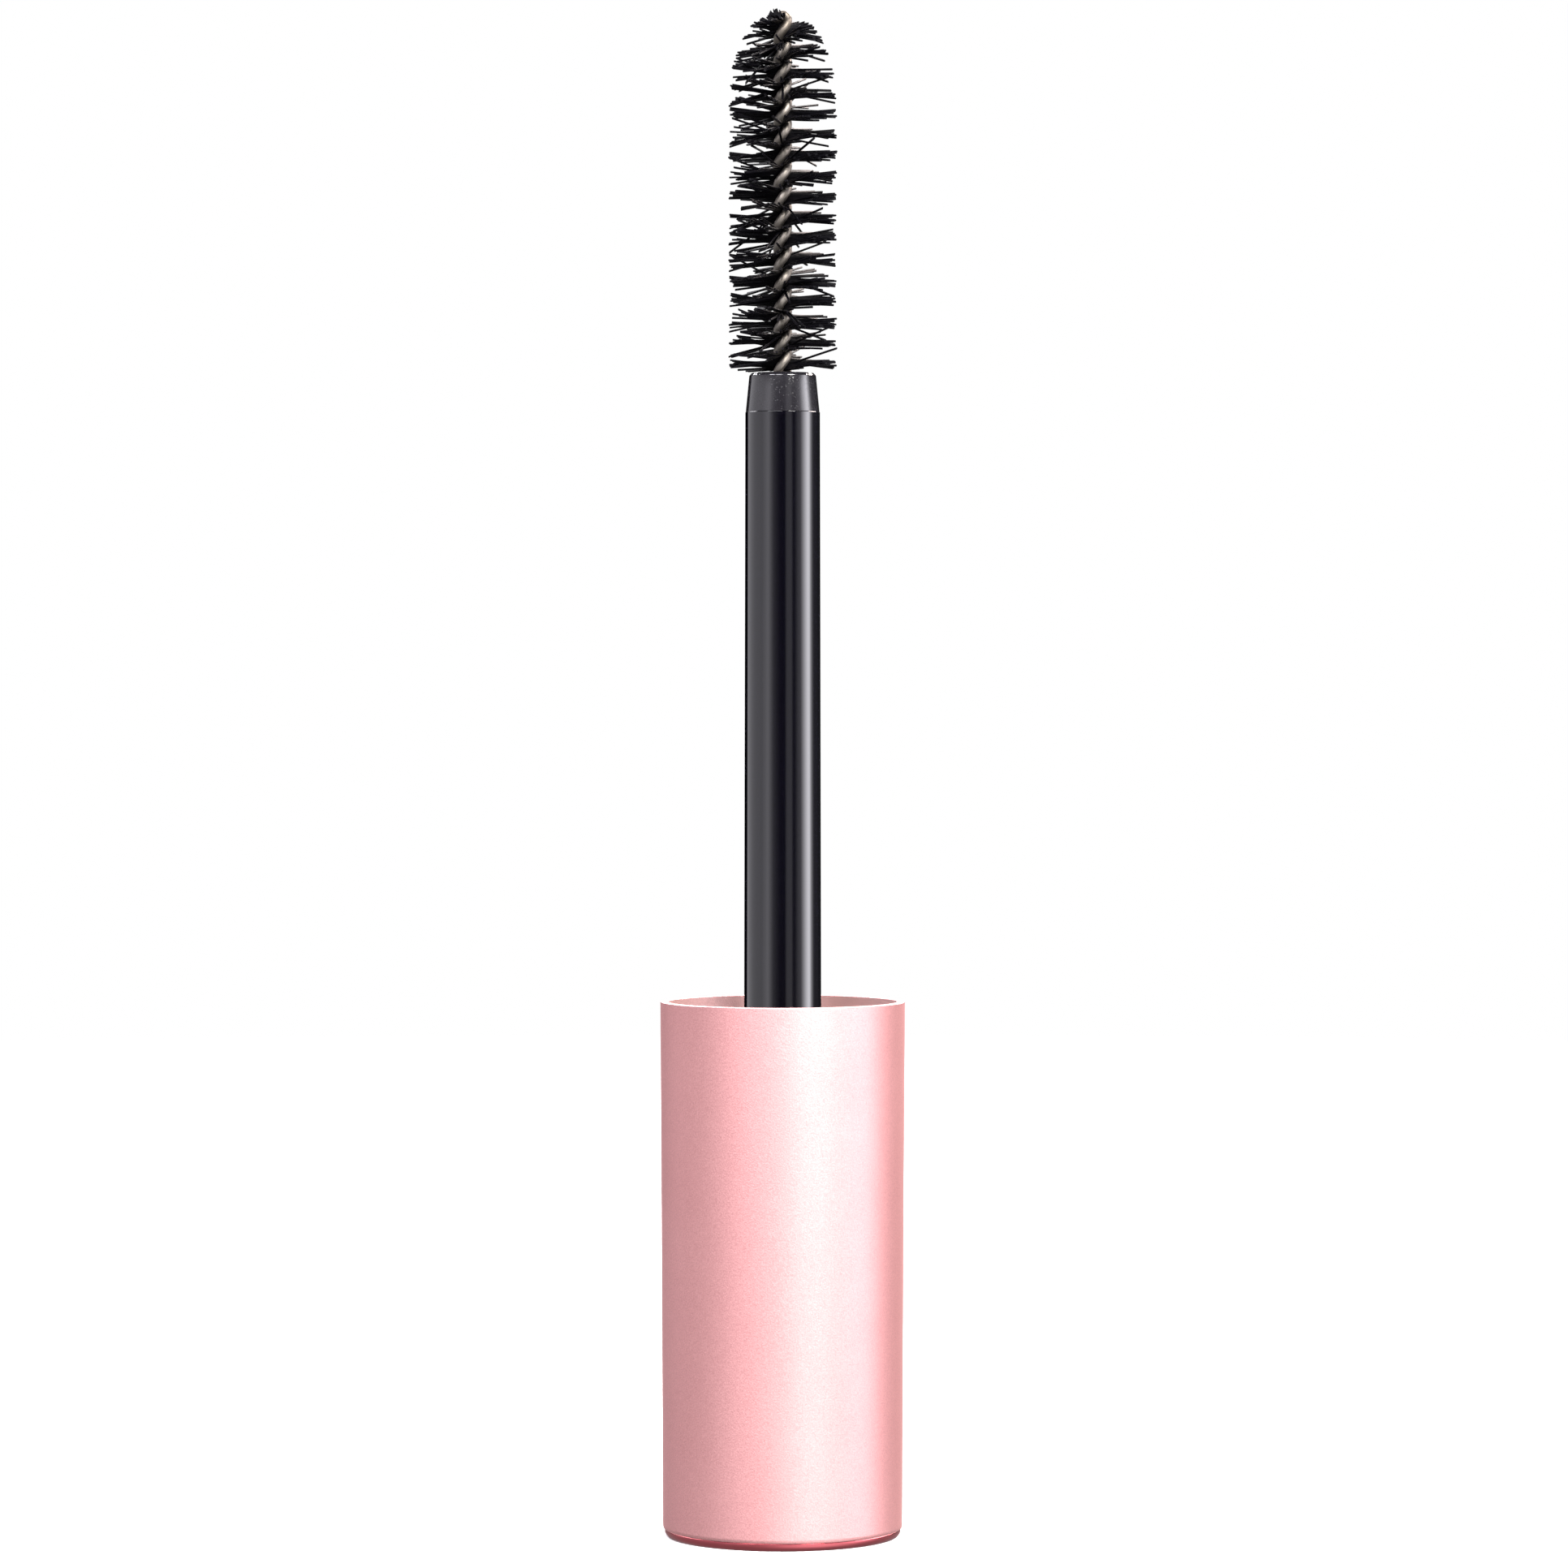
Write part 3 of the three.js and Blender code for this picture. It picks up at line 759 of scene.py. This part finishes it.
recipe = Recipe(bpy.data.materials.new("seal_foam"))
here = recipe.node("ShaderNodeTexCoord", out="Object")
cells = recipe.node("ShaderNodeTexVoronoi", {}, {"Vector": here, "Scale": CELLS_PER_METRE}, "Distance")
tint = recipe.noise(here, FOAM_TINT_PER_METRE, detail=3.0)
colour = recipe.mix(tint, FOAM_LOW, FOAM_HIGH)
relief = recipe.node("ShaderNodeBump", {}, {"Strength": 0.5, "Distance": 0.03 * MM, "Height": cells})
foam = {"Base Color": colour, "Roughness": 0.75 + tint * 0.15, "Normal": relief}
shader = recipe.node("ShaderNodeBsdfPrincipled", {}, foam)
recipe.node("ShaderNodeOutputMaterial", {}, {"Surface": shader})
seal_foam = recipe.owner
print("finish:", seal_foam.name)

# %% [markdown]
# The stem's collar clamps the washer and dents it, so its section has a step: a lower ring under the
# collar, and the full height outside it, where the tube's rim presses.

# %% Seal washer
WASHER_BORE = 3.05
DENT = 0.12
DENT_RADIUS = 4.1

washer_shape = turned(
    [
        (WASHER_BORE, washer_low.z, 0.0),
        (washer_high.x, washer_low.z, 0.05),
        (washer_high.x, washer_high.z, 0.08),
        (DENT_RADIUS, washer_high.z, 0.04),
        (DENT_RADIUS, washer_high.z - DENT, 0.04),
        (WASHER_BORE, washer_high.z - DENT, 0.0),
    ],
    steps=96,
)
washer = finish_piece("seal_washer_fine", washer_shape, "seal_washer", seal_foam)
keep_walls_straight(washer)

# %% [markdown]
# The stem is injection moulded in black, with a polished surface. A clear coat over a dark body doubles
# the strength of its reflections, and a very faint waviness keeps them from looking ruled.

# %% Gloss black plastic
BLACK_LOW = (0.0008, 0.0007, 0.0016, 1.0)
BLACK_HIGH = (0.0014, 0.0013, 0.0026, 1.0)
WAVES_PER_METRE = 260.0
SPECKS_PER_METRE = 4000.0

recipe = Recipe(bpy.data.materials.new("gloss_black_plastic"))
here = recipe.node("ShaderNodeTexCoord", out="Object")
waves = recipe.noise(here, WAVES_PER_METRE, detail=1.0)
specks = recipe.noise(here, SPECKS_PER_METRE, detail=2.0)
colour = recipe.mix(specks, BLACK_LOW, BLACK_HIGH)
relief = recipe.node("ShaderNodeBump", {}, {"Strength": 0.05, "Distance": 0.02 * MM, "Height": waves})
plastic = {
    "Base Color": colour, "Roughness": 0.07 + specks * 0.03, "Normal": relief,
    "Coat Weight": 1.0, "Coat Roughness": 0.05,
}
shader = recipe.node("ShaderNodeBsdfPrincipled", {}, plastic)
recipe.node("ShaderNodeOutputMaterial", {}, {"Surface": shader})
gloss_black = recipe.owner
print("finish:", gloss_black.name)

# %% [markdown]
# The stem tapers very slightly. Low down it has a snap bead and a collar, which hold it in the inner cap,
# and it is hollow, as such a moulding is cored to cool evenly. Its bore narrows to grip the wire and
# opens again for the ferrule's spigot.

# %% Wand stem
STEM_TIP_RADIUS = 2.74
STEM_TAPER = 0.0022
BEAD_HEIGHT = 17.0
BEAD_PROUD = 0.22
BEAD_HALF = 0.7
SEAT_GAP = 0.06
COLLAR_RADIUS = 3.9
COLLAR_THICKNESS = 0.8
COLLAR_BOTTOM = washer_high.z - DENT + SEAT_GAP
COLLAR_TOP = COLLAR_BOTTOM + COLLAR_THICKNESS
STEM_BORE = 1.4
STEM_BORE_TOP = 70.0
BORE_CONE = 1.0
WIRE_BORE = 0.82
SPIGOT_RADIUS = 1.85
SPIGOT_BOTTOM = 78.4


def stem_radius(height):
    """The stem's outer radius at a height."""
    return STEM_TIP_RADIUS + STEM_TAPER * (stem_high.z - height)


stem_shape = turned(
    [
        (STEM_BORE, stem_low.z, 0.1),
        (stem_radius(stem_low.z), stem_low.z, 0.25),
        (stem_radius(BEAD_HEIGHT), BEAD_HEIGHT - BEAD_HALF, 0.1),
        (stem_radius(BEAD_HEIGHT) + BEAD_PROUD, BEAD_HEIGHT, 0.3),
        (stem_radius(BEAD_HEIGHT), BEAD_HEIGHT + BEAD_HALF, 0.1),
        (stem_radius(COLLAR_BOTTOM), COLLAR_BOTTOM, 0.0),
        (COLLAR_RADIUS, COLLAR_BOTTOM, 0.1),
        (COLLAR_RADIUS, COLLAR_TOP, 0.15),
        (stem_radius(COLLAR_TOP), COLLAR_TOP, 0.15),
        (stem_radius(stem_high.z), stem_high.z, 0.02),
        (SPIGOT_RADIUS + SEAT_GAP, stem_high.z, 0.05),
        (SPIGOT_RADIUS + SEAT_GAP, SPIGOT_BOTTOM - SEAT_GAP, 0.0),
        (WIRE_BORE, SPIGOT_BOTTOM - SEAT_GAP, 0.05),
        (WIRE_BORE, STEM_BORE_TOP, 0.0),
        (STEM_BORE, STEM_BORE_TOP - BORE_CONE, 0.0),
    ],
    steps=96,
)
stem = finish_piece("wand_stem_fine", stem_shape, "wand_stem", gloss_black)
keep_walls_straight(stem)

# %% [markdown]
# The ferrule on the stem's tip is the same black plastic, but handling and the wiper in the tube's neck
# leave it less polished, with fine scratches round it and tiny pits. A Mapping node squeezes the noise
# along the axis, which stretches its spots into scratches that run round the piece.

# %% Worn black plastic
WORN_LOW = (0.0050, 0.0046, 0.0062, 1.0)
WORN_HIGH = (0.0100, 0.0094, 0.0115, 1.0)
SCRATCH_STRETCH = 7.0
SCRATCHES_PER_METRE = 1500.0
WEAR_PER_METRE = 900.0
PITS_PER_METRE = 7000.0
PIT_SPAN = (0.60, 0.72)
SCRATCH_DEPTH = 0.6

recipe = Recipe(bpy.data.materials.new("worn_black_plastic"))
here = recipe.node("ShaderNodeTexCoord", out="Object")
stretched = recipe.node("ShaderNodeMapping", {}, {"Vector": here, "Scale": (1.0, 1.0, SCRATCH_STRETCH)})
scratches = recipe.noise(stretched, SCRATCHES_PER_METRE, detail=5.0)
wear = recipe.noise(here, WEAR_PER_METRE, detail=3.0)
colour = recipe.mix(wear, WORN_LOW, WORN_HIGH)
pits = recipe.noise(here, PITS_PER_METRE, detail=2.0).step(*PIT_SPAN)
marks = scratches * SCRATCH_DEPTH - pits
relief = recipe.node("ShaderNodeBump", {}, {"Strength": 0.16, "Distance": 0.02 * MM, "Height": marks})
plastic = {
    "Base Color": colour, "Roughness": 0.09 + scratches * 0.10 + pits * 0.2, "Normal": relief,
    "Coat Weight": 1.0, "Coat Roughness": 0.11,
}
shader = recipe.node("ShaderNodeBsdfPrincipled", {}, plastic)
recipe.node("ShaderNodeOutputMaterial", {}, {"Surface": shader})
worn_black = recipe.owner
print("finish:", worn_black.name)

# %% [markdown]
# The ferrule is a short cone with a chamfered top edge, and it sits on the stem at a hairline seam. A
# spigot below the seam goes into the stem, and the wire goes through its bore.

# %% Stem tip ferrule
SEAM = 0.02
SHOULDER_RADIUS = 2.45
TOP_RADIUS = 2.27
CHAMFER_HEIGHT = 0.2

ferrule_shape = turned(
    [
        (WIRE_BORE, ferrule_low.z, 0.0),
        (SPIGOT_RADIUS, ferrule_low.z, 0.1),
        (SPIGOT_RADIUS, stem_high.z + SEAM, 0.0),
        (ferrule_high.x, stem_high.z + SEAM, 0.02),
        (SHOULDER_RADIUS, ferrule_high.z - CHAMFER_HEIGHT, 0.03),
        (TOP_RADIUS, ferrule_high.z, 0.03),
        (WIRE_BORE, ferrule_high.z, 0.1),
    ],
    steps=96,
)
ferrule = finish_piece("stem_tip_ferrule_fine", ferrule_shape, "stem_tip_ferrule", worn_black)
keep_walls_straight(ferrule)

# %% [markdown]
# The brush's core is one soft steel wire, bent double at the tip. Its bright surface is dulled by
# drawing, which leaves fine streaks, and by a trace of warm staining. Near the tip its colour is darker:
# that is painted shade, which tones down the tip where it stands clear of the fibres that shade the rest.

# %% Drawn steel
WIRE_LOW = (0.20, 0.175, 0.15, 1.0)
WIRE_HIGH = (0.36, 0.33, 0.30, 1.0)
# Painted shade: the wire's tip gets this darker colour.
WIRE_TIP_PAINTED_SHADE = (0.11, 0.095, 0.08, 1.0)
TIP_FROM, TIP_TO = 108.5, 111.0
STREAKS_PER_METRE = 9000.0
WIRE_STAIN_PER_METRE = 1600.0

recipe = Recipe(bpy.data.materials.new("drawn_steel"))
here = recipe.node("ShaderNodeTexCoord", out="Object")
streaks = recipe.noise(here, STREAKS_PER_METRE, detail=3.0)
stain = recipe.noise(here, WIRE_STAIN_PER_METRE, detail=3.0)
_, _, z = recipe.axes(here)
unshaded_wire = recipe.mix(stain, WIRE_LOW, WIRE_HIGH)
# Painted shade: the colour darkens towards the tip.
colour = recipe.mix(z.step(TIP_FROM * MM, TIP_TO * MM), unshaded_wire, WIRE_TIP_PAINTED_SHADE)
relief = recipe.node("ShaderNodeBump", {}, {"Strength": 0.25, "Distance": 0.02 * MM, "Height": streaks})
metal = {"Base Color": colour, "Metallic": 1.0, "Roughness": 0.46 + streaks * 0.14, "Normal": relief}
shader = recipe.node("ShaderNodeBsdfPrincipled", {}, metal)
recipe.node("ShaderNodeOutputMaterial", {}, {"Surface": shader})
drawn_steel = recipe.owner
print("finish:", drawn_steel.name)

# %% [markdown]
# To make such a brush, fibres are laid between the two legs of the bent wire and the legs are twisted to
# the right. The path below climbs one leg, goes round the bend and comes down the other leg. A curve
# object with a bevel could draw it, but a ring that is extruded from frame to frame gives a plain closed
# mesh with even faces.

# %% Twisted wire
WIRE_RADIUS = 0.33
LEG_RADIUS = 0.365
TWIST_PITCH = 3.05
FRONT_LEG_HEIGHT = 98.5
WIRE_SIDES = 12
STEPS_PER_TURN = 24
BEND_STEPS = 16
BEND_HEIGHT = 111.5


def twist(height):
    """Direction of the first leg at a height. It faces the camera at FRONT_LEG_HEIGHT."""
    return FULL_TURN * (height - FRONT_LEG_HEIGHT) / TWIST_PITCH - math.pi / 2


def wire_frames():
    """Points along the wire in millimetres, each with the direction away from the twist's axis."""
    turns = (BEND_HEIGHT - wire_low.z) / TWIST_PITCH
    leg_steps = round(turns * STEPS_PER_TURN)
    frames = []
    for leg, order in ((0, range(leg_steps + 1)), (math.pi, range(leg_steps, -1, -1))):
        for step in order:
            height = wire_low.z + (BEND_HEIGHT - wire_low.z) * step / leg_steps
            outward = Vector((math.cos(twist(height) + leg), math.sin(twist(height) + leg), 0))
            frames.append((outward * LEG_RADIUS + Vector((0, 0, height)), outward))
        if leg == 0:
            side = frames[-1][1]
            for step in range(1, BEND_STEPS):
                swing = math.pi * step / BEND_STEPS
                outward = side * math.cos(swing) + Vector((0, 0, math.sin(swing)))
                frames.append((outward * LEG_RADIUS + Vector((0, 0, BEND_HEIGHT)), outward))
    return frames


def swept(frames, radius, sides):
    """Extrudes a ring along frames of (point, outward direction)."""
    shape = bmesh.new()
    places = []
    for index, (point, outward) in enumerate(frames):
        before = frames[max(index - 1, 0)][0]
        after = frames[min(index + 1, len(frames) - 1)][0]
        tangent = (after - before).normalized()
        side = tangent.cross(outward).normalized()
        facing = side.cross(tangent)
        turn = Matrix((facing, side, tangent)).transposed().to_4x4()
        places.append(Matrix.Translation(point * MM) @ turn)
    start = bmesh.ops.create_circle(shape, cap_ends=True, segments=sides, radius=radius * MM)["verts"]
    bmesh.ops.transform(shape, matrix=places[0], verts=start)
    ring = shape.edges[:]
    for earlier, later in zip(places, places[1:]):
        grown = bmesh.ops.extrude_edge_only(shape, edges=ring)["geom"]
        points = [part for part in grown if isinstance(part, bmesh.types.BMVert)]
        ring = [part for part in grown if isinstance(part, bmesh.types.BMEdge)]
        ring = [edge for edge in ring if all(v in points for v in edge.verts)]
        bmesh.ops.transform(shape, matrix=later @ earlier.inverted(), verts=points)
    bmesh.ops.contextual_create(shape, geom=ring)
    return shape


wire_shape = swept(wire_frames(), WIRE_RADIUS, WIRE_SIDES)
finish_piece("brush_wire_fine", wire_shape, "brush_wire", drawn_steel)

# %% [markdown]
# The fibres are black nylon, about 0.17 mm thick. Nylon is smooth, so each fibre carries a thin
# highlight. A slow change in shine from place to place keeps the tuft from looking printed.

# %% Black nylon
NYLON_LOW = (0.0010, 0.0009, 0.0014, 1.0)
NYLON_HIGH = (0.0030, 0.0027, 0.0040, 1.0)
PATCHES_PER_METRE = 2500.0

recipe = Recipe(bpy.data.materials.new("black_nylon"))
here = recipe.node("ShaderNodeTexCoord", out="Object")
patches = recipe.noise(here, PATCHES_PER_METRE, detail=2.0)
colour = recipe.mix(patches, NYLON_LOW, NYLON_HIGH)
nylon = {"Base Color": colour, "Roughness": 0.32 + patches * 0.20, "Specular IOR Level": 0.07}
shader = recipe.node("ShaderNodeBsdfPrincipled", {}, nylon)
recipe.node("ShaderNodeOutputMaterial", {}, {"Surface": shader})
black_nylon = recipe.owner
print("finish:", black_nylon.name)

# %% [markdown]
# Each half turn of the wire holds one row of fibres, which pass between its legs and reach out on both
# sides. When the wire is twisted, a cutter trims them to the brush's outline: straight sides and a
# rounded nose with a small point. The outline is a formula, so every fibre can ask it how far it may
# reach.

# %% Brush outline
BRUSH_RADIUS = 3.95
BRUSH_BOTTOM = 85.9
NOSE_START = 105.5
NOSE_LENGTH = 6.9
POINT_HEIGHT = 112.42
POINT_SLOPE = 1.8
LEAST_REACH = 0.1


def brush_reach(height):
    """How far the trimmed fibres reach from the axis at a height."""
    share = ramp(height, NOSE_START, NOSE_LENGTH)
    nose = BRUSH_RADIUS * math.sqrt(1 - share * share)
    return max(min(nose, POINT_SLOPE * (POINT_HEIGHT - height)), LEAST_REACH)


print("brush reach half way up the nose:", round(brush_reach(NOSE_START + NOSE_LENGTH / 2), 2), "mm")

# %% [markdown]
# A particle system could scatter the fibres, but then nothing would hold them in the wire. So every fibre
# is a copy of one short six-sided tube, bent along its own path. The tube is made once and has just
# enough rings to bend.

# %% One fibre
FIBRE_SIDES = 6
FIBRE_SEGMENTS = 10


def fibre_tube():
    """One straight fibre from -1 to 1 along X, with a radius of 1."""
    tube = bmesh.new()
    bmesh.ops.create_cone(tube, cap_ends=True, segments=FIBRE_SIDES, radius1=1.0, radius2=1.0, depth=2.0)
    upright = [edge for edge in tube.edges if abs(edge.verts[0].co.z - edge.verts[1].co.z) > 1]
    bmesh.ops.subdivide_edges(tube, edges=upright, cuts=FIBRE_SEGMENTS - 1, use_grid_fill=True)
    bmesh.ops.rotate(tube, cent=(0, 0, 0), matrix=Matrix.Rotation(math.pi / 2, 3, "Y"), verts=tube.verts)
    mesh = bpy.data.meshes.new("fibre")
    tube.to_mesh(mesh)
    tube.free()
    return mesh


tube = fibre_tube()
print("one fibre:", len(tube.vertices), "points")

# %% [markdown]
# A fibre runs straight through the gap between the wire's legs and then out on both sides, where it leans
# up or down, drifts sideways and curls a little. A few are strays with a much larger lean, and a few are
# cut short. Each side grows outwards until it meets the brush's outline.

# %% Path of one side of a fibre
GRIP_RADIUS = 0.45
LEAN_SPREAD = math.radians(1.3)
DRIFT_SPREAD = math.radians(2.5)
CURL_SPREAD = 0.07
STRAY_SHARE = 0.05
STRAY_LEANS = (12, 24)
SHORT_SHARE = 0.05
SHORT_CUT = (0.35, 0.85)
CLEAN_CUT = (0.955, 1.0)
BOTTOM_SLACK = 0.05
GROWTH = 0.02

dice = random.Random(7)


def half_fibre(height, direction, bundle):
    """The path of one side of a fibre: its direction, lean, curl and length."""
    lean = bundle["lean"] + dice.gauss(0, LEAN_SPREAD)
    if dice.random() < STRAY_SHARE:
        lean += math.radians(dice.choice((-1, 1)) * dice.uniform(*STRAY_LEANS))
    lean = max(lean, math.atan((BRUSH_BOTTOM - BOTTOM_SLACK - height) / BRUSH_RADIUS))
    curl = dice.gauss(0, CURL_SPREAD)
    drift = bundle["drift"] + dice.gauss(0, DRIFT_SPREAD)
    length = 0.0
    while length < BRUSH_RADIUS:
        tip = height + math.tan(lean) * max(length - GRIP_RADIUS, 0)
        if length > brush_reach(tip):
            break
        length += GROWTH
    trim = dice.uniform(*SHORT_CUT) if dice.random() < SHORT_SHARE else dice.uniform(*CLEAN_CUT)
    return {"direction": direction + drift, "lean": lean, "curl": curl, "length": length * trim}


print("each side grows in steps of", GROWTH, "mm")

# %% [markdown]
# Bending moves every point of the straight tube on to the fibre's path. A Curve modifier could do that
# for one fibre, but a formula for one point serves all of them. The last ring is slanted, as the cutter
# leaves it.

# %% Bending a fibre
OBLIQUE = 0.9
END_SHARE = 0.99
TURN_LENGTH = 0.8
AXIS_GUARD = 0.01


def bent(point, height, middle_direction, halves, radius):
    """Where a point of the straight tube lies on the bent fibre, in millimetres."""
    ahead = point.x >= 0
    half = halves[0] if ahead else halves[1]
    share = abs(point.x)
    cut = OBLIQUE * radius * point.y if share > END_SHARE else 0.0
    out = share * half["length"] + cut
    free = max(out - GRIP_RADIUS, 0)
    blend = min(free / TURN_LENGTH, 1)
    direction = middle_direction + (0 if ahead else math.pi)
    direction += (half["direction"] - middle_direction) * blend * free / max(out, AXIS_GUARD)
    rise = math.tan(half["lean"]) * free + half["curl"] * (free / BRUSH_RADIUS) ** 2
    along = Vector((math.cos(direction), math.sin(direction), 0))
    across = Vector((-along.y, along.x, 0))
    sideways = point.y * radius * (1 if ahead else -1)
    upwards = point.z * radius / math.cos(half["lean"])
    return along * out + (across * sideways + Vector((0, 0, upwards))) + Vector((0, 0, height + rise))


print("a fibre turns to its own direction over", TURN_LENGTH, "mm")

# %% [markdown]
# The fibres of a row leave the wire one above the other, in the direction that the twist has there. They
# cling in small bundles that share a lean and a drift, and the leans are larger on the left side. Near
# the nose the fibres fan out and lift, a crown of extra ones closes the tip, and the lowest ones are cut
# to stubs just above the ferrule.

# %% Fibre rows
ROWS = 17
FIBRES_PER_ROW = 35
FIBRE_RADIUS = 0.084
THICKNESS_SPREAD = (0.9, 1.1)
HEIGHT_SPREAD = 0.02
BUNDLE = 3
BUNDLE_LEAN = math.radians(3.6)
BUNDLE_DRIFT = math.radians(7)
LEFT_SPREAD = 1.2
LIFT = math.radians(10)
LIFT_START, LIFT_OVER = 110.2, 1.3
FAN = math.radians(11)
FAN_START, FAN_OVER = 108.5, 2.0
CROWN_FIBRES = 34
CROWN_HEIGHTS = (110.8, 111.55)
CROWN_LEANS = ((-5, 22), (15, 74))
STUB_HEIGHTS = (-0.06, 0.02)
STUB_CUT = (0.3, 0.62)


def fibre_row(index, tube):
    """All the fibres of one half turn as one bmesh."""
    shape = bmesh.new()
    middle = FRONT_LEG_HEIGHT + (index - (ROWS - 1) / 2) * TWIST_PITCH / 2
    bundles = [[], []]
    for side in bundles:
        for _ in range(FIBRES_PER_ROW // BUNDLE + 2):
            side.append({"lean": dice.gauss(0, BUNDLE_LEAN), "drift": dice.gauss(0, BUNDLE_DRIFT)})
    starts = [dice.randrange(BUNDLE), dice.randrange(BUNDLE)]
    fibres = [middle + ((n + 0.5) / FIBRES_PER_ROW - 0.5) * TWIST_PITCH / 2 for n in range(FIBRES_PER_ROW)]
    if index == ROWS - 1:
        fibres += [dice.uniform(*CROWN_HEIGHTS) for _ in range(CROWN_FIBRES)]
    for number, height in enumerate(fibres):
        height += dice.gauss(0, HEIGHT_SPREAD)
        stub = height < BRUSH_BOTTOM
        if stub:
            height = BRUSH_BOTTOM + dice.uniform(*STUB_HEIGHTS)
        direction = twist(height) + math.pi / 2
        lift = LIFT * ramp(height, LIFT_START, LIFT_OVER)
        fan = FAN * ramp(height, FAN_START, FAN_OVER)
        halves = []
        for side in (0, 1):
            bundle = dict(bundles[side][(number % FIBRES_PER_ROW + starts[side]) // BUNDLE])
            faces_left = max(-math.cos(direction + side * math.pi), 0)
            bundle["lean"] *= 1 + LEFT_SPREAD * faces_left
            bundle["lean"] += lift - (1 - side) * fan + dice.gauss(0, fan)
            if number >= FIBRES_PER_ROW:
                bundle["lean"] = math.radians(dice.uniform(*CROWN_LEANS[side]))
            half = half_fibre(height, direction, bundle)
            if stub:
                half["length"] *= dice.uniform(*STUB_CUT)
            halves.append(half)
        radius = FIBRE_RADIUS * dice.uniform(*THICKNESS_SPREAD)
        before = len(shape.verts)
        shape.from_mesh(tube)
        shape.verts.ensure_lookup_table()
        for point in shape.verts[before:]:
            point.co = bent(point.co.copy(), height, direction, halves, radius) * MM
    return shape


for index in range(ROWS):
    number = f"{index + 1:02d}"
    row = fibre_row(index, tube)
    finish_piece(f"fibre_row_{number}", row, f"bristle_row_{number}", black_nylon)

# %% [markdown]
# The last cell compares the dressed model with the measured one.

# %% Sizes and the end
fine_box = [list(corner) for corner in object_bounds()]
for low_or_high, measured, fine in zip(("low", "high"), model_box, fine_box):
    print(low_or_high, [round((b - a) / MM, 3) for a, b in zip(measured, fine)], "mm off the measured box")
